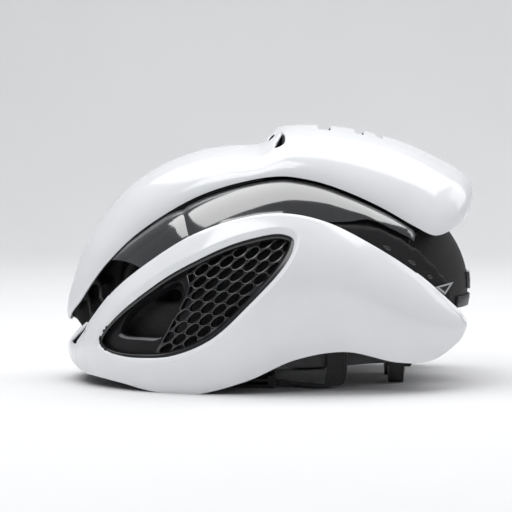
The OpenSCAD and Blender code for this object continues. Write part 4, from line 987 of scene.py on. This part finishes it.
def liner():
    o = remeshed("foam_liner", "eps_liner", 0, FOAM_VOXEL, FOAM)
    modifier(o, "SMOOTH", factor=0.5, iterations=3)
    co = points_of(baked(o).data) / MM
    # Curved faces go back onto the smooth forms of the egg and the head
    for centre, front, rear in ((EGG_C, EGG_FRONT, EGG_REAR), (HEAD_C, HEAD_R, HEAD_R)):
        d = co - centre
        f = np.sqrt(((d / np.where(d[:, :1] > 0, rear, front)) ** 2).sum(1))
        off = np.linalg.norm(d, axis=1) * np.abs(f - 1)
        pull = np.clip(PULL_REACH - off, 0, PULL_FALL) / PULL_FALL
        co = co + d * ((1 / f - 1) * pull)[:, None]
    set_points(o.data, co * MM)
    place(o, "eps_liner")
    faces = [tuple(face.vertices) for face in o.data.polygons]
    return BVHTree.FromPolygons((points_of(o.data) / MM).tolist(), faces)


liner_tree = liner()
# Place and length of each lug, and the size and height of its rings
LUGS = ((78.0, 97.5, 7.0), (95.0, 87.5, 7.0), (107.5, 77.5, 4.5))
LUG_ROWS = ((1.0, -0.6), (1.0, 0.25), (0.86, 0.6), (0.55, 0.85), (0.02, 0.9))


def lugs(side, mirrored):
    """Small moulded lugs on the foam shoulder above the side shell."""
    k = 12
    for number, (x, z, length) in enumerate(LUGS, 1):
        hit, nrm = hit_at(liner_tree, x, z)
        out = np.array(nrm if nrm.y < 0 else -nrm)
        slope = arr(1, 0, -0.55)
        along = unit(slope - out * (slope @ out))
        up = np.cross(out, along)
        pts = []
        for share, height in LUG_ROWS:
            for a in np.arange(k) * 2 * math.pi / k:
                x1 = math.cos(a) * share * length / 2
                z1 = math.sin(a) * share * 1.3 * (1 + 0.4 * math.cos(a))
                pts.append(np.array(hit) + along * x1 + up * z1 + out * height)
        faces = tube_faces(len(LUG_ROWS), k)
        place(make("%s_shoulder_lug_%d" % (side, number), pts, faces, EDGE_BLACK, mirrored))


both(lugs)


# Rear fins
# Corners of the fin's triangle, where it stands and how it is turned, and the size and height of its rings
FIN = arr([-0.8, 70.6], [13.2, 73.6], [6.8, 65.2])
FIN_X, FIN_Y, FIN_TURN = 111.6, -69.1, math.radians(24)
FIN_ROWS = [(0.98, 0.0), (1.0, 0.35), (1.0, 1.1), (0.96, 1.4), (0.62, 1.4), (0.57, 1.3), (0.55, 0.9),
            (0.02, 0.85)]


def fin(side, mirrored):
    """Triangle on the rear fin, with a dark hollow in its middle."""
    c, s, mid = math.cos(FIN_TURN), math.sin(FIN_TURN), FIN.mean(0)
    outline = dense_loop(FIN)
    pts = [(FIN_X + x * c + y * s, FIN_Y + x * s - y * c, z)
           for share, y in FIN_ROWS for x, z in mid + (outline - mid) * share]
    k = len(outline)
    faces = tube_faces(len(FIN_ROWS), k, flip=True) + [tuple(range(k))]
    o = make(side + "_fin_skin", pts, faces, GREY, mirrored, smooth=False)
    repaint(o, SATIN, lambda i: 5 * k <= i < 7 * k)
    place(o, side + "_rear_fin")


both(fin)


# Webbing
def wall(x):
    """The head form's half width at x, and its slope."""
    q = (x - HEAD_C[0]) / HEAD_R[0]
    root = math.sqrt(1 - q * q)
    return HEAD_R[1] * root, HEAD_R[1] * q / (HEAD_R[0] * root)


(FY, FL), (RY, RL) = wall(-38), wall(45)
CHIN_Z, STRAP_W, STRAP_T = 3.2, 15.0, 1.2
# Each point of a route: its place, and the direction of the strap's width there
FRONT_ROUTE = arr([-38, -FY + 2, 8, 1, FL, 0], [-38, -FY + 2.4, 5.4, 1, FL, 0],
                  [-37.4, -FY + 5.4, CHIN_Z + 0.1, 1, -0.3, 0], [-34, -FY + 10.5, CHIN_Z, 0.9, -0.5, 0],
                  [-28, -54.5, CHIN_Z, 0.8, -0.6, 0], [-22, -47, CHIN_Z, 0.78, -0.62, 0])
REAR_ROUTE = arr([45, -RY + 2, 33.6, 1, RL, 0], [45, -RY + 2, 20, 1, RL, 0],
                 [44.5, -RY + 2.6, 10, 1, RL, 0], [42, -RY + 7, 3, 0.85, 0.5, 0],
                 [34, -RY + 13, 1, 0.5, 0.85, 0], [20, -49, 1.6, 0.25, 0.95, 0],
                 [8, -46.5, CHIN_Z - 0.2, 0.1, 1, 0], [-2, -46, CHIN_Z, 0, 1, 0])
CHIN_ROUTE = arr([-12, -36.5, CHIN_Z, 1, 0, 0], [-12, -28, CHIN_Z, 1, 0, 0], [-12, -18, CHIN_Z, 1, 0, 0])
# The upper face's height over the strap's middle, by distance from its edge
EDGE_ROWS = ((0, 0.1), (0.08, 0.34), (0.3, 0.52), (0.7, STRAP_T / 2), (1.3, 0.56), (3, 0.5), (5.3, 0.5))
HALF = [(x - STRAP_W / 2, h) for x, h in EDGE_ROWS] + [(0, 0.5)]
TOP = HALF + [(-x, h) for x, h in HALF[-2::-1]]
SECTION = TOP + [(x, -h) for x, h in TOP[::-1]]


def ribbon(name, route, n, mirrored, stands_for):
    """Strap along a route, with its section's width as the route says."""
    t = shares(n)
    r, a, b = spline(route, t), spline(route, t - 0.02), spline(route, t + 0.02)
    d = unit(b[:, :3] - a[:, :3])
    f = unit(r[:, 3:] - (r[:, 3:] * d).sum(1)[:, None] * d)
    g = np.cross(d, f)
    run = np.concatenate([[0], np.cumsum(np.linalg.norm(np.diff(r[:, :3], axis=0), axis=1))])
    girth = np.concatenate([[0], np.cumsum([math.dist(p, q) for p, q in zip(SECTION, SECTION[1:])])])
    pts = [r[i, :3] + f[i] * x + g[i] * h for i in range(n + 1) for x, h in SECTION]
    uv = [(across, along) for along in run for across in girth]
    k = len(SECTION)
    o = make(name, pts, tube_faces(n + 1, k) + end_faces(n + 1, k), WEB, mirrored, uv)
    o.data.validate()
    if mirrored and "chin" in name:
        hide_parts(stands_for)
        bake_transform(o)
    else:
        place(o, stands_for)


def webbing(side, mirrored):
    for part, route, n in (("front", FRONT_ROUTE, 70), ("rear", REAR_ROUTE, 140), ("chin", CHIN_ROUTE, 40)):
        ribbon("%s_%s_webbing" % (side, part), route, n, mirrored, "%s_%s_strap" % (side, part))


both(webbing)


# Pads
CLOTH = dict(quality=5, mass=0.1, tension_stiffness=8, compression_stiffness=8, bending_stiffness=0.6,
             use_pressure=True, uniform_pressure_force=4.0)
CLOTH_FRAMES = 20
# How far a cover swells, and how deep its sewn channels are
PAD_SWELL, SEAM_DEPTH = 0.9, 1.7
# Arc on the wall of the head form to one degree
MM_PER_DEGREE = 1.45


def inflate(o, cap):
    """Lets the cover swell as cloth under pressure, each point by no more than cap."""
    start = points_of(o.data)
    c = modifier(o, "CLOTH")
    for k, v in CLOTH.items():
        setattr(c.settings, k, v)
    c.settings.effector_weights.gravity = 0
    c.collision_settings.use_collision = False
    c.point_cache.frame_start, c.point_cache.frame_end = 1, CLOTH_FRAMES
    for f in range(1, CLOTH_FRAMES + 1):
        scene.frame_set(f)
    end = points_of(evaluated(o))
    scene.frame_set(1)
    o.modifiers.clear()
    d = end - start
    size = np.linalg.norm(d, axis=1, keepdims=True)
    set_points(o.data, start + d * np.minimum(1, cap * MM / np.maximum(size, 1e-9)))


def relax(me, rounds):
    """Moves each point half the way to the middle of its neighbours, a few times over."""
    edges = np.empty(len(me.edges) * 2, int)
    me.edges.foreach_get("vertices", edges)
    a, b = edges.reshape(-1, 2).T
    co = points_of(me)
    count = np.bincount(np.concatenate([a, b]), minlength=len(co))[:, None]
    for _ in range(rounds):
        acc = np.zeros_like(co)
        np.add.at(acc, a, co[b])
        np.add.at(acc, b, co[a])
        co = co + 0.5 * (acc / np.maximum(count, 1) - co)
    set_points(me, co)


def pad(source, body, cap, along=None, lines=(), blend=None, voxel=1.9):
    """Sewn pad with channels, where along(points) gives the coordinate that they cross."""
    o = remeshed(source + "_cover", source, 0.35, voxel, PAD)
    relax(o.data, 2)
    inflate(o, cap)
    modifier(o, "SUBSURF", levels=1, render_levels=1)
    me = baked(o).data
    if lines:
        co = points_of(me) / MM
        s = along(co)
        sink = sum(np.exp(-((s - q) / 1.1) ** 2) for q in lines)
        co = co + to_wall(co) * (SEAM_DEPTH * np.minimum(sink, 1))[:, None]
        set_points(me, co * MM)
    smoothed(me)
    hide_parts(source)
    if blend:
        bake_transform(o)
    else:
        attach(o, body)


def to_wall(co):
    """Direction and share by which each point of a pad sinks in a channel, down to none at the wall."""
    f = np.linalg.norm((co - HEAD_C) / HEAD_R, axis=1)
    return unit(co - HEAD_C) * np.clip((0.995 - f) / 0.07, 0, 1)[:, None]


def arc(*degrees):
    return [d * MM_PER_DEGREE for d in degrees]


def arc_of(co):
    """Arc of each point round the head, from 0 at the rear."""
    a = np.degrees(np.arctan2(co[:, 1], co[:, 0] - HEAD_C[0]))
    return np.where(a < 0, a + 360, a) * MM_PER_DEGREE


pad("brow_pad", "helmet", PAD_SWELL, arc_of, arc(155, 171, 189, 205))
pad("left_side_pad", "helmet", PAD_SWELL, arc_of, arc(256, 280))
pad("right_side_pad", "helmet", PAD_SWELL, arc_of, arc(80, 104))
for side in ("left", "right"):
    pad(side + "_crown_pad", "helmet", PAD_SWELL, lambda co: co[:, 0], [-36, -19, -2])
    pad(side + "_nape_pad", "cradle", 0.5, voxel=1.0)
pad("chin_pad", "helmet", 0.4, blend=("helmet", "tongue"), voxel=0.8)


# CAD nodes that stay: names and bevel widths by material
PAIRS = ["%s_%s" % (side, part) for side in ("left", "right")
         for part in ("temple_anchor", "front_anchor", "rear_anchor", "divider", "divider_lever", "band")]
STAY = {
    SATIN: (["nape_trim"], 0.35),
    REFLECTOR: (["rear_reflector"], 0.4),
    NYLON: (PAIRS + ["hanger_guide", "cradle_body", "cradle_cover", "hanger", "buckle_base", "buckle_tongue"],
            0.35),
    STEEL: (["cover_screw_%d" % i for i in range(1, 5)] + ["base_magnet", "tongue_magnet"], 0.15),
    RUBBER: (["dial", "strap_keeper"], 0.4),
    ACETAL: (["dial_pinion"], 0.1),
}
for mat, (names, edge) in STAY.items():
    for n in names:
        o = nodes[n]
        o.data.materials.clear()
        o.data.materials.append(mat)
        modifier(o, "WELD", merge_threshold=1e-5)
        modifier(o, "DECIMATE", decimate_type="DISSOLVE", angle_limit=math.radians(1))
        rounded_edges(o, edge, 2, 32, use_clamp_overlap=True)
        smoothed(o.data)


# Floor, which turns up behind the part, and lamps
FLOOR_FRONT, FLOOR_BACK, FLOOR_SIDE, FLOOR_TOP = -3000.0, 1200.0, 5000, 4000.0
CURVE = 700


def floor():
    turns = np.linspace(0.1, math.pi / 2, 12)
    profile = [(FLOOR_FRONT, 0.0), (FLOOR_BACK, 0.0)]
    profile += [(FLOOR_BACK + CURVE * math.sin(t), CURVE * (1 - math.cos(t))) for t in turns]
    profile.append((FLOOR_BACK + CURVE, FLOOR_TOP))
    verts = [(x, y, z) for y, z in profile for x in (-FLOOR_SIDE, FLOOR_SIDE)]
    faces = [(2 * i, 2 * i + 1, 2 * i + 3, 2 * i + 2) for i in range(len(profile) - 1)]
    m, nt, b = material("floor")
    tone = mix(nt, noise(nt, coords(nt), 0.004, 3), (0.80, 0.80, 0.80), (0.76, 0.76, 0.765))
    plug(nt, b, {"Base Color": tone, "Roughness": 0.7, "Specular IOR Level": 0.2})
    return make("floor", verts, faces, m)


def lamp(name, at, target, size, power):
    d = bpy.data.lights.new(name, "AREA")
    d.shape = "RECTANGLE"
    d.size, d.size_y = size
    d.energy = power
    o = bpy.data.objects.new(name, d)
    o.location = at
    o.rotation_euler = (Vector(target) - Vector(at)).to_track_quat("-Z", "Y").to_euler()
    scene.collection.objects.link(o)


floor()
lamp("key", (-0.7, -1.1, 1.5), (0, 0, 0.08), (1.2, 0.8), 10)
lamp("top", (0.05, 0.2, 1.5), (0.05, 0.1, 0.1), (2.5, 1.3), 29)
lamp("rear", (1.6, 0.5, 1.0), (0, 0, 0.1), (1.0, 1.0), 5)
world = bpy.data.worlds.new("world")
scene.world = world
world.use_nodes = True
plug(world.node_tree, world.node_tree.nodes["Background"], {0: (0.93, 0.95, 1, 1), 1: 0.3})
